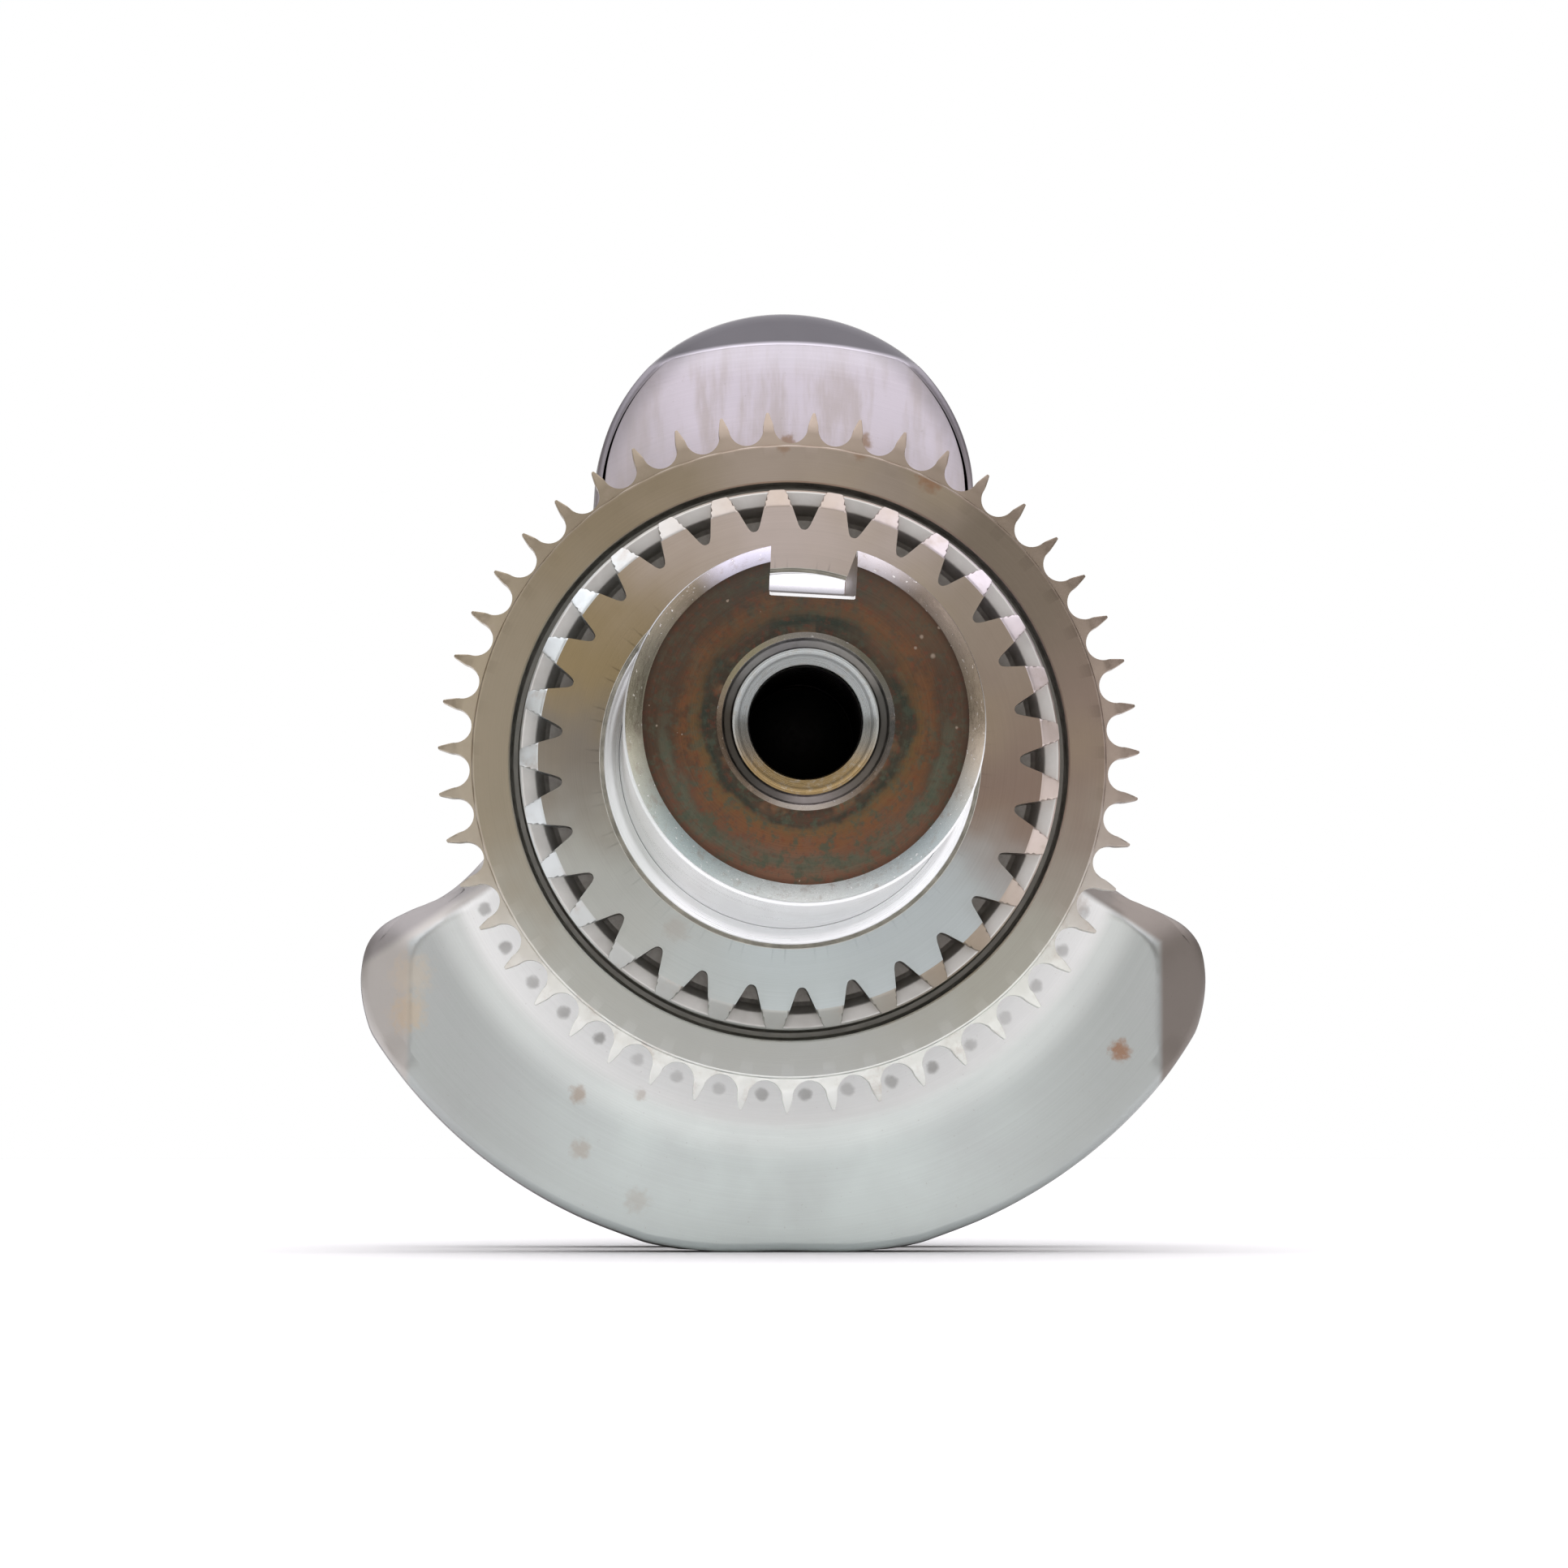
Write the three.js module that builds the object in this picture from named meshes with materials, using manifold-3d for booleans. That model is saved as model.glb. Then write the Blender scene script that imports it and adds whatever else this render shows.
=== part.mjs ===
// Single-throw engine crankshaft assembly: one-piece forging with a keyed power take-off end, a timing gear,
// a chain sprocket, two deep-groove ball main bearings and their distance rings, and a keyed flywheel taper.
// Millimetres, +Z up. The crank axis is the Y axis, the keyed end points to -Y, the crankpin is up (+Z).
// The origin is below the middle of the crankpin, half way between the two main bearings, on the level
// that the flat bottoms of the counterweights rest on. The code works about the crank axis, and the
// finished group is raised onto that level at the end.
import * as THREE from "three";
import { mergeVertices } from "three/addons/utils/BufferGeometryUtils.js";
import Module from "manifold-3d";

const wasm = await Module();
wasm.setup();

// ---------- driving dimensions ----------
const THROW = 50; // crank radius, half the stroke
const PIN_R = 27;
const PIN_HALF = 18; // half the width between the webs
const WEB_T = 24; // web thickness
const WEB_FACE = PIN_HALF + WEB_T; // outer face of each web, from the middle of the pin
const LOBE_R = 34.5; // round end of the web, about the crankpin
const CW_R = 88.7; // counterweight radius, about the crank axis
const CW_FLAT = 86.9; // from the crank axis down to the flats the counterweights stand on
const MAIN_R = 30; // main bearing journals, gear and sprocket seat
const THRUST_R = 35; // shoulder between web and main bearing
const THRUST_T = 1.5;
const BRG_W = 22,
  BRG_OD = 110,
  BRG_ID = 60; // 60 x 110 x 22 deep-groove bearing
const BALLS = 10,
  BALL_D = 15.875,
  BALL_PCD = 85;
const GAP = 0.3; // gap between neighbouring faceted pieces
const SPR_N = 47,
  SPR_P = 8,
  SPR_ROLLER = 5,
  SPR_T = 8; // 47 teeth, 8 mm chain
const GEAR_N = 29,
  GEAR_M = 3,
  GEAR_X = 0.3,
  GEAR_W = 11; // 29 teeth, module 3, profile shift 0.3
const PTO_R = 29.4; // power take-off shaft
const PTO_LEN = 100; // from the gear's front face to the shaft end
const KEYWAY_W = 14,
  KEYWAY_FLOOR = 20,
  KEYWAY_LEN = 65.6,
  KEYWAY_TURN = 3; // degrees from the crankpin, towards +X
const BORE_R = 9.1; // tapped hole in the shaft end

// ---------- stations along the axis ----------
const BRG_IN = WEB_FACE + THRUST_T; // bearing face next to the web
const BRG_OUT = BRG_IN + BRG_W;
const SPR_BACK = -(BRG_OUT + 1.6); // back of the sprocket, past the distance ring
const SPR_FRONT = SPR_BACK - SPR_T;
const GEAR_BACK = SPR_FRONT + 3.0 - GAP; // the gear sits 3 mm deep in the sprocket's recess
const GEAR_FRONT = GEAR_BACK - GEAR_W;
const PTO_END = GEAR_FRONT - PTO_LEN;

// ---------- helpers ----------
function toSolid(geometry) {
  const bare = new THREE.BufferGeometry().setAttribute(
    "position",
    geometry.toNonIndexed
      ? (geometry.index ? geometry.toNonIndexed() : geometry).getAttribute(
          "position",
        )
      : geometry.getAttribute("position"),
  );
  const merged = mergeVertices(bare, 1e-4);
  const src = merged.index.array,
    tris = [];
  for (let i = 0; i < src.length; i += 3) {
    const a = src[i],
      b = src[i + 1],
      c = src[i + 2];
    if (a !== b && b !== c && a !== c) tris.push(a, b, c);
  }
  const p = merged.attributes.position.array;
  let vol = 0;
  for (let i = 0; i < tris.length; i += 3) {
    const [a, b, c] = [tris[i] * 3, tris[i + 1] * 3, tris[i + 2] * 3];
    vol +=
      p[a] * (p[b + 1] * p[c + 2] - p[b + 2] * p[c + 1]) -
      p[a + 1] * (p[b] * p[c + 2] - p[b + 2] * p[c]) +
      p[a + 2] * (p[b] * p[c + 1] - p[b + 1] * p[c]);
  }
  if (vol < 0)
    for (let i = 0; i < tris.length; i += 3)
      [tris[i + 1], tris[i + 2]] = [tris[i + 2], tris[i + 1]];
  return new wasm.Manifold(
    new wasm.Mesh({
      numProp: 3,
      vertProperties: new Float32Array(p),
      triVerts: new Uint32Array(tris),
    }),
  );
}
function toGeometry(solid) {
  const m = solid.getMesh(),
    n = m.numProp,
    v = new Float32Array(m.numVert * 3);
  for (let i = 0; i < m.numVert; i++)
    v.set(m.vertProperties.subarray(i * n, i * n + 3), i * 3);
  const g = new THREE.BufferGeometry()
    .setAttribute("position", new THREE.BufferAttribute(v, 3))
    .setIndex(new THREE.BufferAttribute(new Uint32Array(m.triVerts), 1));
  g.computeVertexNormals();
  return g;
}
// Body of revolution about Y: profile is [radius, y] pairs, closed through the axis or on itself.
function turned(profile, segments, cx = 0, cz = 0) {
  const g = new THREE.LatheGeometry(
    profile.map(([r, y]) => new THREE.Vector2(r, y)),
    segments,
  );
  if (cx || cz) g.translate(cx, 0, cz);
  return toSolid(g);
}
const bar = (r, y0, y1, seg = 48, cx = 0, cz = 0) =>
  turned(
    [
      [0, y0],
      [r, y0],
      [r, y1],
      [0, y1],
    ],
    seg,
    cx,
    cz,
  );
// Flat outline of [x, z] points pushed along Y from y0 to y1.
function plate(outline, y0, y1) {
  const s = new THREE.Shape(outline.map(([x, z]) => new THREE.Vector2(x, -z)));
  const g = new THREE.ExtrudeGeometry(s, {
    depth: y1 - y0,
    bevelEnabled: false,
    curveSegments: 1,
  });
  g.rotateX(-Math.PI / 2);
  g.translate(0, y0, 0);
  return toSolid(g);
}
function block(x0, x1, y0, y1, z0, z1) {
  const g = new THREE.BoxGeometry(x1 - x0, y1 - y0, z1 - z0);
  g.translate((x0 + x1) / 2, (y0 + y1) / 2, (z0 + z1) / 2);
  return toSolid(g);
}
// Angle is clockwise from +Z when seen from -Y, so +90 degrees is +X.
const polar = (r, deg) => [
  r * Math.sin((deg * Math.PI) / 180),
  r * Math.cos((deg * Math.PI) / 180),
];

const root = new THREE.Group();
root.name = "crankshaft_assembly";
function add(name, solid, color, roughness, metalness = 1.0) {
  const m = new THREE.Mesh(
    toGeometry(solid),
    new THREE.MeshStandardMaterial({ color, roughness, metalness }),
  );
  m.name = name;
  root.add(m);
  return m;
}

// ---------- web outline: round lobe about the pin, waisted cheeks, fan-shaped counterweight ----------
const half = [];
for (let a = 0; a <= 90; a += 10) {
  const [x, z] = polar(LOBE_R, a);
  half.push([x, THROW + z]);
}
half.push(
  [35.2, 36],
  [37.5, 20],
  [42.3, 5],
  [49.5, -9],
  [57.6, -18.9],
  [62.6, -22.8],
  [68.3, -25.2],
  [73.2, -27.9],
  [75.9, -31.2],
  [77.0, -36],
  [76.8, -41],
  [75.4, -46.4],
);
for (let a = 123; a <= 162; a += 6.5) half.push(polar(CW_R, a));
half.push([24.5, -85.3], [14, -CW_FLAT]);
const outline = half.concat(
  half
    .slice(1)
    .reverse()
    .map(([x, z]) => [-x, z]),
);

// ---------- crankshaft forging ----------
function web(side) {
  const y0 = side < 0 ? -WEB_FACE : PIN_HALF,
    y1 = side < 0 ? -PIN_HALF : WEB_FACE;
  let w = plate(outline, y0, y1);
  // Conical relief turned on the outer face, so the lobe's end and the counterweight rim fall away from it.
  const f = side * WEB_FACE,
    g = side * PIN_HALF;
  w = w.intersect(
    turned(
      [
        [0, g - side * 1],
        [96, g - side * 1],
        [96, f - side * 14],
        [84.6, f - side * 6.4],
        [78, f],
        [78, f + side * 1],
        [0, f + side * 1],
      ],
      72,
    ).add(block(-90, 90, Math.min(f, g) - 2, Math.max(f, g) + 2, -100, 5)),
  );
  // Slanting flats on the two horns of the counterweight.
  for (const sx of [-1, 1]) {
    const cutter = new THREE.BoxGeometry(40, 30, 60);
    cutter.translate(20, side * 15, 0);
    cutter.rotateZ(side * 0.62);
    const m = new THREE.Matrix4().makeRotationY(0.06);
    cutter.applyMatrix4(m);
    cutter.translate(67.6, f, -38);
    if (sx < 0) cutter.scale(-1, 1, 1);
    w = w.subtract(toSolid(cutter));
  }
  // Thrust face around the crankpin.
  w = w.add(
    bar(
      PIN_R + 5,
      side < 0 ? -PIN_HALF - 1 : PIN_HALF - 1,
      side < 0 ? -PIN_HALF + 1 : PIN_HALF + 1,
      40,
      0,
      THROW,
    ),
  );
  return w;
}

const shaftFront = turned(
  [
    [0, -WEB_FACE + 2],
    [THRUST_R, -WEB_FACE + 2],
    [THRUST_R, -BRG_IN],
    [MAIN_R, -BRG_IN],
    [MAIN_R, GEAR_FRONT + 0.4],
    [PTO_R, GEAR_FRONT - 0.2],
    [PTO_R, PTO_END + 7.6],
    [PTO_R - 1.1, PTO_END + 7.2],
    [PTO_R - 1.1, PTO_END + 5.6],
    [PTO_R - 0.4, PTO_END + 5.2],
    [PTO_R - 0.4, PTO_END + 2.7],
    [PTO_R - 3.1, PTO_END],
    [0, PTO_END],
  ],
  56,
);
const REAR_END = -PTO_END; // both ends stand equally far from the crankpin
const TAPER_0 = BRG_OUT + 29,
  TAPER_1 = TAPER_0 + 52;
const shaftRear = turned(
  [
    [0, WEB_FACE - 2],
    [THRUST_R, WEB_FACE - 2],
    [THRUST_R, BRG_IN],
    [MAIN_R, BRG_IN],
    [MAIN_R, BRG_OUT + 4],
    [28.5, BRG_OUT + 4.6],
    [28.5, TAPER_0 - 1],
    [27.5, TAPER_0],
    [19.0, TAPER_1],
    [15.2, TAPER_1 + 1.2],
    [15.2, TAPER_1 + 4],
    [16, TAPER_1 + 4.8],
    [16, REAR_END - 2],
    [14, REAR_END],
    [0, REAR_END],
  ],
  48,
);
let crank = web(-1)
  .add(web(1))
  .add(bar(PIN_R, -PIN_HALF - 2, PIN_HALF + 2, 48, 0, THROW))
  .add(shaftFront)
  .add(shaftRear);
// Tapped hole with its protecting counterbore and centre cone in the power take-off end.
crank = crank.subtract(
  turned(
    [
      [0, PTO_END - 1],
      [14.2, PTO_END - 1],
      [14.2, PTO_END],
      [13.2, PTO_END + 0.9],
      [12.1, PTO_END + 1.2],
      [12.1, PTO_END + 1.3],
      [BORE_R, PTO_END + 3.4],
      [BORE_R, PTO_END + 52],
      [0, PTO_END + 57],
    ],
    40,
  ),
);
// Centre hole in the flywheel end.
crank = crank.subtract(
  turned(
    [
      [0, REAR_END + 1],
      [6.4, REAR_END + 1],
      [6.4, REAR_END - 0.5],
      [3.2, REAR_END - 6],
      [3.2, REAR_END - 14],
      [0, REAR_END - 16],
    ],
    24,
  ),
);
// Keyway open at the shaft end, with a flat floor that climbs out of the shaft at the far end.
{
  const end = PTO_END + KEYWAY_LEN;
  // side view of the slot as [y, z]: open end, level floor, then the climb left by the cutter
  const side = new THREE.Shape(
    [
      [PTO_END - 1, KEYWAY_FLOOR],
      [end - 20, KEYWAY_FLOOR],
      [end - 13, KEYWAY_FLOOR + 1.6],
      [end - 5, KEYWAY_FLOOR + 5.2],
      [end - 3, KEYWAY_FLOOR + 6.4],
      [end, KEYWAY_FLOOR + 9.7],
      [end + 1.8, KEYWAY_FLOOR + 12],
      [PTO_END - 1, KEYWAY_FLOOR + 12],
    ].map(([y, z]) => new THREE.Vector2(y, z)),
  );
  const slot = new THREE.ExtrudeGeometry(side, {
    depth: KEYWAY_W,
    bevelEnabled: false,
    curveSegments: 1,
  });
  slot.translate(0, 0, -KEYWAY_W / 2);
  slot.applyMatrix4(
    new THREE.Matrix4().makeBasis(
      new THREE.Vector3(0, 1, 0),
      new THREE.Vector3(0, 0, 1),
      new THREE.Vector3(1, 0, 0),
    ),
  );
  slot.rotateY((KEYWAY_TURN * Math.PI) / 180);
  crank = crank.subtract(toSolid(slot));
}
// Seat of the gear key under the gear and the sprocket.
const GK_W = 8,
  GK_H0 = MAIN_R - 4,
  GK_Y0 = GEAR_FRONT + 1.5,
  GK_Y1 = SPR_BACK - 1.5;
crank = crank.subtract(
  block(
    -GK_W / 2 - GAP,
    GK_W / 2 + GAP,
    GK_Y0 - GAP,
    GK_Y1 + GAP,
    GK_H0 - GAP,
    40,
  ),
);
// Woodruff key seat in the flywheel taper.
const WK_Y = (TAPER_0 + TAPER_1) / 2,
  WK_R = 12.5,
  WK_Z = 23.4,
  WK_W = 6;
function disc(r, w, y, z) {
  const g = new THREE.CylinderGeometry(r, r, w, 28);
  g.rotateZ(Math.PI / 2);
  g.translate(0, y, z);
  return toSolid(g);
}
crank = crank.subtract(disc(WK_R + GAP, WK_W + 2 * GAP, WK_Y, WK_Z + 3));
add("crankshaft", crank, 0xb4b6b6, 0.34);

// ---------- keys ----------
add(
  "gear_key",
  block(-GK_W / 2, GK_W / 2, GK_Y0, GK_Y1, GK_H0, MAIN_R + 3),
  0x8f8f8c,
  0.4,
);
add(
  "woodruff_key",
  disc(WK_R, WK_W, WK_Y, WK_Z + 3).intersect(
    block(-6, 6, WK_Y - 20, WK_Y + 20, 0, WK_Z + 3),
  ),
  0x8f8f8c,
  0.4,
);

// ---------- timing gear: tapered teeth with narrow roots, chamfered front, guide flange at the back ----------
// Half width of a tooth gap, along the arc, at each radius.
const GAP_AT = [
  [40.3, 0.45],
  [41.2, 1.05],
  [44.3, 2.3],
  [46.6, 3.2],
  [47.52, 3.8],
];
function gearOutline(n, phase) {
  const step = 360 / n,
    out = [];
  for (let i = 0; i < n; i++) {
    const mid = (i + 0.5) * step + phase; // a gap is at the phase angle
    const side = GAP_AT.map(([r, w]) => [
      r,
      step / 2 - ((w / r) * 180) / Math.PI,
    ]);
    for (const [r, h] of side) out.push(polar(r, mid - h));
    for (const [r, h] of side.slice().reverse()) out.push(polar(r, mid + h));
  }
  return out;
}
const GEAR_RA = (GEAR_N * GEAR_M) / 2 + GEAR_M * (1.04 + GEAR_X);
const keySlot = (y0, y1) =>
  block(-GK_W / 2 - GAP, GK_W / 2 + GAP, y0, y1, 5, MAIN_R + 3 + GAP);
{
  let g = plate(
    gearOutline(GEAR_N, 3.4),
    GEAR_FRONT,
    GEAR_BACK,
  );
  g = g.intersect(
    turned(
      [
        [0, GEAR_FRONT],
        [43.4, GEAR_FRONT],
        [GEAR_RA - 0.3, GEAR_FRONT + 2.6],
        [GEAR_RA + 1, GEAR_FRONT + 3.4],
        [GEAR_RA + 1, GEAR_BACK - 1.6],
        [GEAR_RA - 1, GEAR_BACK],
        [0, GEAR_BACK],
      ],
      58,
    ),
  );
  // Thin guide flange behind the teeth, with a groove at the roots.
  g = g.add(
    turned(
      [
        [0, GEAR_FRONT + 7.5],
        [43.2, GEAR_FRONT + 7.5],
        [44.7, GEAR_FRONT + 3.9],
        [47.2, GEAR_FRONT + 3.5],
        [47.6, GEAR_FRONT + 4.1],
        [47.6, GEAR_BACK - 0.6],
        [47.0, GEAR_BACK],
        [0, GEAR_BACK],
      ],
      58,
    ),
  );
  // Raised hub with a rounded foot where the gear meets the shaft.
  g = g.add(
    turned(
      [
        [MAIN_R - 2, GEAR_FRONT + 1],
        [32.4, GEAR_FRONT + 1],
        [32.4, GEAR_FRONT - 0.01],
        [31.2, GEAR_FRONT - 0.5],
        [30.6, GEAR_FRONT - 1.6],
        [MAIN_R - 2, GEAR_FRONT - 1.6],
        [MAIN_R - 2, GEAR_FRONT + 1],
      ],
      64,
    ),
  );
  g = g
    .subtract(bar(MAIN_R + GAP, GEAR_FRONT - 4, GEAR_BACK + 2, 64))
    .subtract(keySlot(GEAR_FRONT + 1.5 - GAP, GEAR_BACK + 2));
  add("timing_gear", g, 0xa59a89, 0.3);
}

// ---------- chain sprocket: slender pointed teeth, lightly chamfered, with a recess for the gear ----------
function sprocketOutline(n, p, roller, phase) {
  const rp = p / 2 / Math.sin(Math.PI / n),
    ra = (p * (0.6 + 1 / Math.tan(Math.PI / n))) / 2,
    ri = roller / 2 + 0.55,
    rc = rp - 0.35; // the gullets are cut deeper and wider than the roller
  const step = 360 / n,
    out = [];
  for (let i = 0; i < n; i++) {
    const gap = i * step + phase;
    const [cx, cz] = polar(rc, gap);
    const ux = cx / rc,
      uz = cz / rc,
      tx = uz,
      tz = -ux; // clockwise tangent
    const half = [];
    for (const a of [0, 50])
      half.push([
        ri * Math.sin((a * Math.PI) / 180),
        -ri * Math.cos((a * Math.PI) / 180),
      ]);
    // flank from the seat to the tip
    half.push([3.06, 0.3], [3.42, 1.7]);
    const pts = [];
    for (const [t, r] of half.slice().reverse()) pts.push([-t, r]);
    for (const [t, r] of half.slice(1)) pts.push([t, r]);
    for (const [t, r] of pts)
      out.push([cx + t * tx + r * ux, cz + t * tz + r * uz]);
    out.push(polar(ra, gap + step / 2));
  }
  return { out, ra, rp };
}
{
  const { out, ra, rp } = sprocketOutline(SPR_N, SPR_P, SPR_ROLLER, 0.3);
  const mid = (SPR_FRONT + SPR_BACK) / 2;
  let s = plate(out, mid - 2.6, mid + 2.6);
  s = s.intersect(
    turned(
      [
        [0, mid - 2.6],
        [rp - 1.4, mid - 2.6],
        [ra + 0.4, mid - 1.5],
        [ra + 0.4, mid + 1.5],
        [rp - 1.4, mid + 2.6],
        [0, mid + 2.6],
      ],
      60,
    ),
  );
  // Hub and rim of the disc, with the recess that takes the gear and a relief groove at its edge.
  s = s.add(
    turned(
      [
        [0, SPR_FRONT],
        [56.0, SPR_FRONT],
        [56.2, mid - 2.5],
        [56.2, mid + 2.5],
        [52, SPR_BACK],
        [0, SPR_BACK],
      ],
      60,
    ),
  );
  s = s.subtract(
    turned(
      [
        [0, SPR_FRONT - 2],
        [50.0, SPR_FRONT - 2],
        [50.0, SPR_FRONT + 4.6],
        [48.2, SPR_FRONT + 4.6],
        [46.6, SPR_FRONT + 3],
        [0, SPR_FRONT + 3],
      ],
      60,
    ),
  );
  s = s
    .subtract(bar(MAIN_R + GAP, SPR_FRONT - 3, SPR_BACK + 3, 64))
    .subtract(keySlot(SPR_FRONT - 3, SPR_BACK - 1.5 + GAP));
  add("chain_sprocket", s, 0x9c9384, 0.3);
}

// ---------- distance rings between sprocket and front bearing, and on the flywheel side ----------
const tube = (ri, ro, y0, y1, seg = 40) =>
  turned(
    [
      [ri, y0],
      [ro, y0],
      [ro, y1],
      [ri, y1],
      [ri, y0],
    ],
    seg,
  );
add(
  "front_distance_ring",
  tube(MAIN_R + GAP, 36, SPR_BACK + GAP, -BRG_OUT - GAP),
  0x9a9a98,
  0.35,
);
add(
  "rear_distance_ring",
  tube(MAIN_R + GAP, 36, BRG_OUT + GAP, BRG_OUT + 3.4),
  0x9a9a98,
  0.35,
);

// ---------- main bearings ----------
const GROOVE = BALL_D / 2 + 0.6,
  PR = BALL_PCD / 2;
function raceProfile(ri, ro, outer, yc) {
  // half-width w, ball groove cut into the inner or the outer face
  const w = BRG_W / 2 - (GAP - 0.1),
    pts = [];
  const groove = [];
  const rFace = outer ? ri : ro; // the face that carries the groove
  const s = outer ? 1 : -1;
  const open = Math.acos(Math.abs(rFace - PR) / GROOVE);
  for (let k = 0; k <= 4; k++) {
    const a = (open * (k - 2)) / 2;
    groove.push([PR + s * GROOVE * Math.cos(a), yc + GROOVE * Math.sin(a)]);
  }
  if (outer) {
    pts.push(
      [ri, yc - w],
      [ro - 1.5, yc - w],
      [ro, yc - w + 1.5],
      [ro, yc + w - 1.5],
      [ro - 1.5, yc + w],
      [ri, yc + w],
      ...groove.reverse(),
      [ri, yc - w],
    );
  } else {
    pts.push(
      [ro, yc - w],
      ...groove,
      [ro, yc + w],
      [ri + 1.2, yc + w],
      [ri, yc + w - 1.2],
      [ri, yc - w + 1.2],
      [ri + 1.2, yc - w],
      [ro, yc - w],
    );
  }
  return pts;
}
function bearing(prefix, yc, dir) {
  add(
    prefix + "_bearing_outer_ring",
    turned(raceProfile(47.3, BRG_OD / 2, true, yc), 36),
    0xc4c6c8,
    0.18,
  );
  add(
    prefix + "_bearing_inner_ring",
    turned(raceProfile(BRG_ID / 2 + GAP, 37.7, false, yc), 32),
    0xc4c6c8,
    0.18,
  );
  // One-piece crown cage, open towards the side the bearing is filled from.
  let cage = tube(39.4, 45.6, yc - 10 * dir, yc + 5.2 * dir, 30);
  for (let i = 0; i < BALLS; i++) {
    const [x, z] = polar(PR, (i + 0.5) * (360 / BALLS));
    const pocket = new THREE.SphereGeometry(BALL_D / 2 + 0.7, 10, 6);
    pocket.translate(x, yc, z);
    cage = cage.subtract(toSolid(pocket));
  }
  add(prefix + "_bearing_cage", cage, 0x2e2a26, 0.55, 0.0);
  for (let i = 0; i < BALLS; i++) {
    const [x, z] = polar(PR, (i + 0.5) * (360 / BALLS));
    const ball = new THREE.SphereGeometry(BALL_D / 2, 10, 7);
    ball.translate(x, yc, z);
    add(
      `${prefix}_bearing_ball_${String(i + 1).padStart(2, "0")}`,
      toSolid(ball),
      0xd8dadc,
      0.08,
    );
  }
}
bearing("front", -(BRG_IN + BRG_W / 2), -1);
bearing("rear", BRG_IN + BRG_W / 2, 1);

// ---------- flywheel nut and its washer on the rear thread ----------
{
  const y0 = TAPER_1 + 6,
    hex = [];
  for (let i = 0; i < 6; i++) hex.push(polar(27.6, 30 + i * 60));
  add(
    "flywheel_washer",
    tube(16 + GAP, 25, y0, y0 + 3, 32),
    0x8c8c88,
    0.4,
  );
  let nut = plate(hex, y0 + 3 + GAP, y0 + 3 + GAP + 16).intersect(
    turned(
      [
        [0, y0 + 3],
        [24.4, y0 + 3],
        [27.8, y0 + 5.4],
        [27.8, y0 + 17.2],
        [24.0, y0 + 19.3 + GAP],
        [0, y0 + 19.3 + GAP],
      ],
      24,
    ),
  );
  nut = nut.subtract(bar(16 + GAP, y0, y0 + 40, 32));
  add("flywheel_nut", nut, 0x55534f, 0.45);
}

root.position.set(0, 0, CW_FLAT);

export default root;
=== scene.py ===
import math

import bmesh
import bpy
import numpy as np
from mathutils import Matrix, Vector


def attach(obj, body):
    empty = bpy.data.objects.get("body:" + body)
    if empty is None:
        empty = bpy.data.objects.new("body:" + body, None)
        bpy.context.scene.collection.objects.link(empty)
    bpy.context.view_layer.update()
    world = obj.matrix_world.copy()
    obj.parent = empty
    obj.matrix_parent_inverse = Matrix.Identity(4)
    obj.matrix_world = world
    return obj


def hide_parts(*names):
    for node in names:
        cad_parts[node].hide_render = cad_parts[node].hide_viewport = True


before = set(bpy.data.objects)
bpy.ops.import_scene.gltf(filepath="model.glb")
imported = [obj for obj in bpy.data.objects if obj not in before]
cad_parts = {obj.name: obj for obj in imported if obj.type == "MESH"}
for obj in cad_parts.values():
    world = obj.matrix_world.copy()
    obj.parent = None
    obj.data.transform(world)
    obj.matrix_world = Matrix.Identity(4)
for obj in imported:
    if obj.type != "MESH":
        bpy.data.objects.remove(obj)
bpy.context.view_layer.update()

# ------------------------------------------------------------------ dimensions, mm about the crank axis
ZC = 86.9  # height of the crank axis
THROW, PIN_R, PIN_HALF, WEB_FACE = 50.0, 27.0, 18.0, 42.0
LOBE_R, CW_R = 34.5, 88.7
BRG_IN, BRG_OUT = 43.5, 65.5
MAIN_R, PTO_R = 30.0, 29.4
SF, SB = -75.1, -67.1  # sprocket front and back
GF, GB = -83.4, -72.4  # gear front and back
NOSE, REAR = -183.4, 183.4
TAPER_0, TAPER_1 = 94.5, 146.5
BODY = "crankshaft"
TAU = 2 * math.pi


# ------------------------------------------------------------------ mesh helpers
def new_object(name, verts, faces, recalc=True):
    """verts in mm about the crank axis."""
    v = np.asarray(verts, float).copy()
    v[:, 2] += ZC
    v *= 0.001
    me = bpy.data.meshes.new(name)
    me.from_pydata(v.tolist(), [], [tuple(int(i) for i in f) for f in faces])
    me.validate()
    bm = bmesh.new()
    bm.from_mesh(me)
    bmesh.ops.remove_doubles(bm, verts=bm.verts, dist=2e-7)
    bmesh.ops.dissolve_degenerate(bm, dist=1e-7, edges=bm.edges)
    if recalc:
        bmesh.ops.recalc_face_normals(bm, faces=bm.faces)
    bm.to_mesh(me)
    bm.free()
    o = bpy.data.objects.new(name, me)
    bpy.context.scene.collection.objects.link(o)
    return o


def finish_shading(o, angle=32.0, weighted=True):
    me = o.data
    me.shade_smooth()
    me.set_sharp_from_angle(angle=math.radians(angle))
    if weighted:
        m = o.modifiers.new("weighted_normals", "WEIGHTED_NORMAL")
        m.keep_sharp = True
        m.weight = 60


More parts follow.
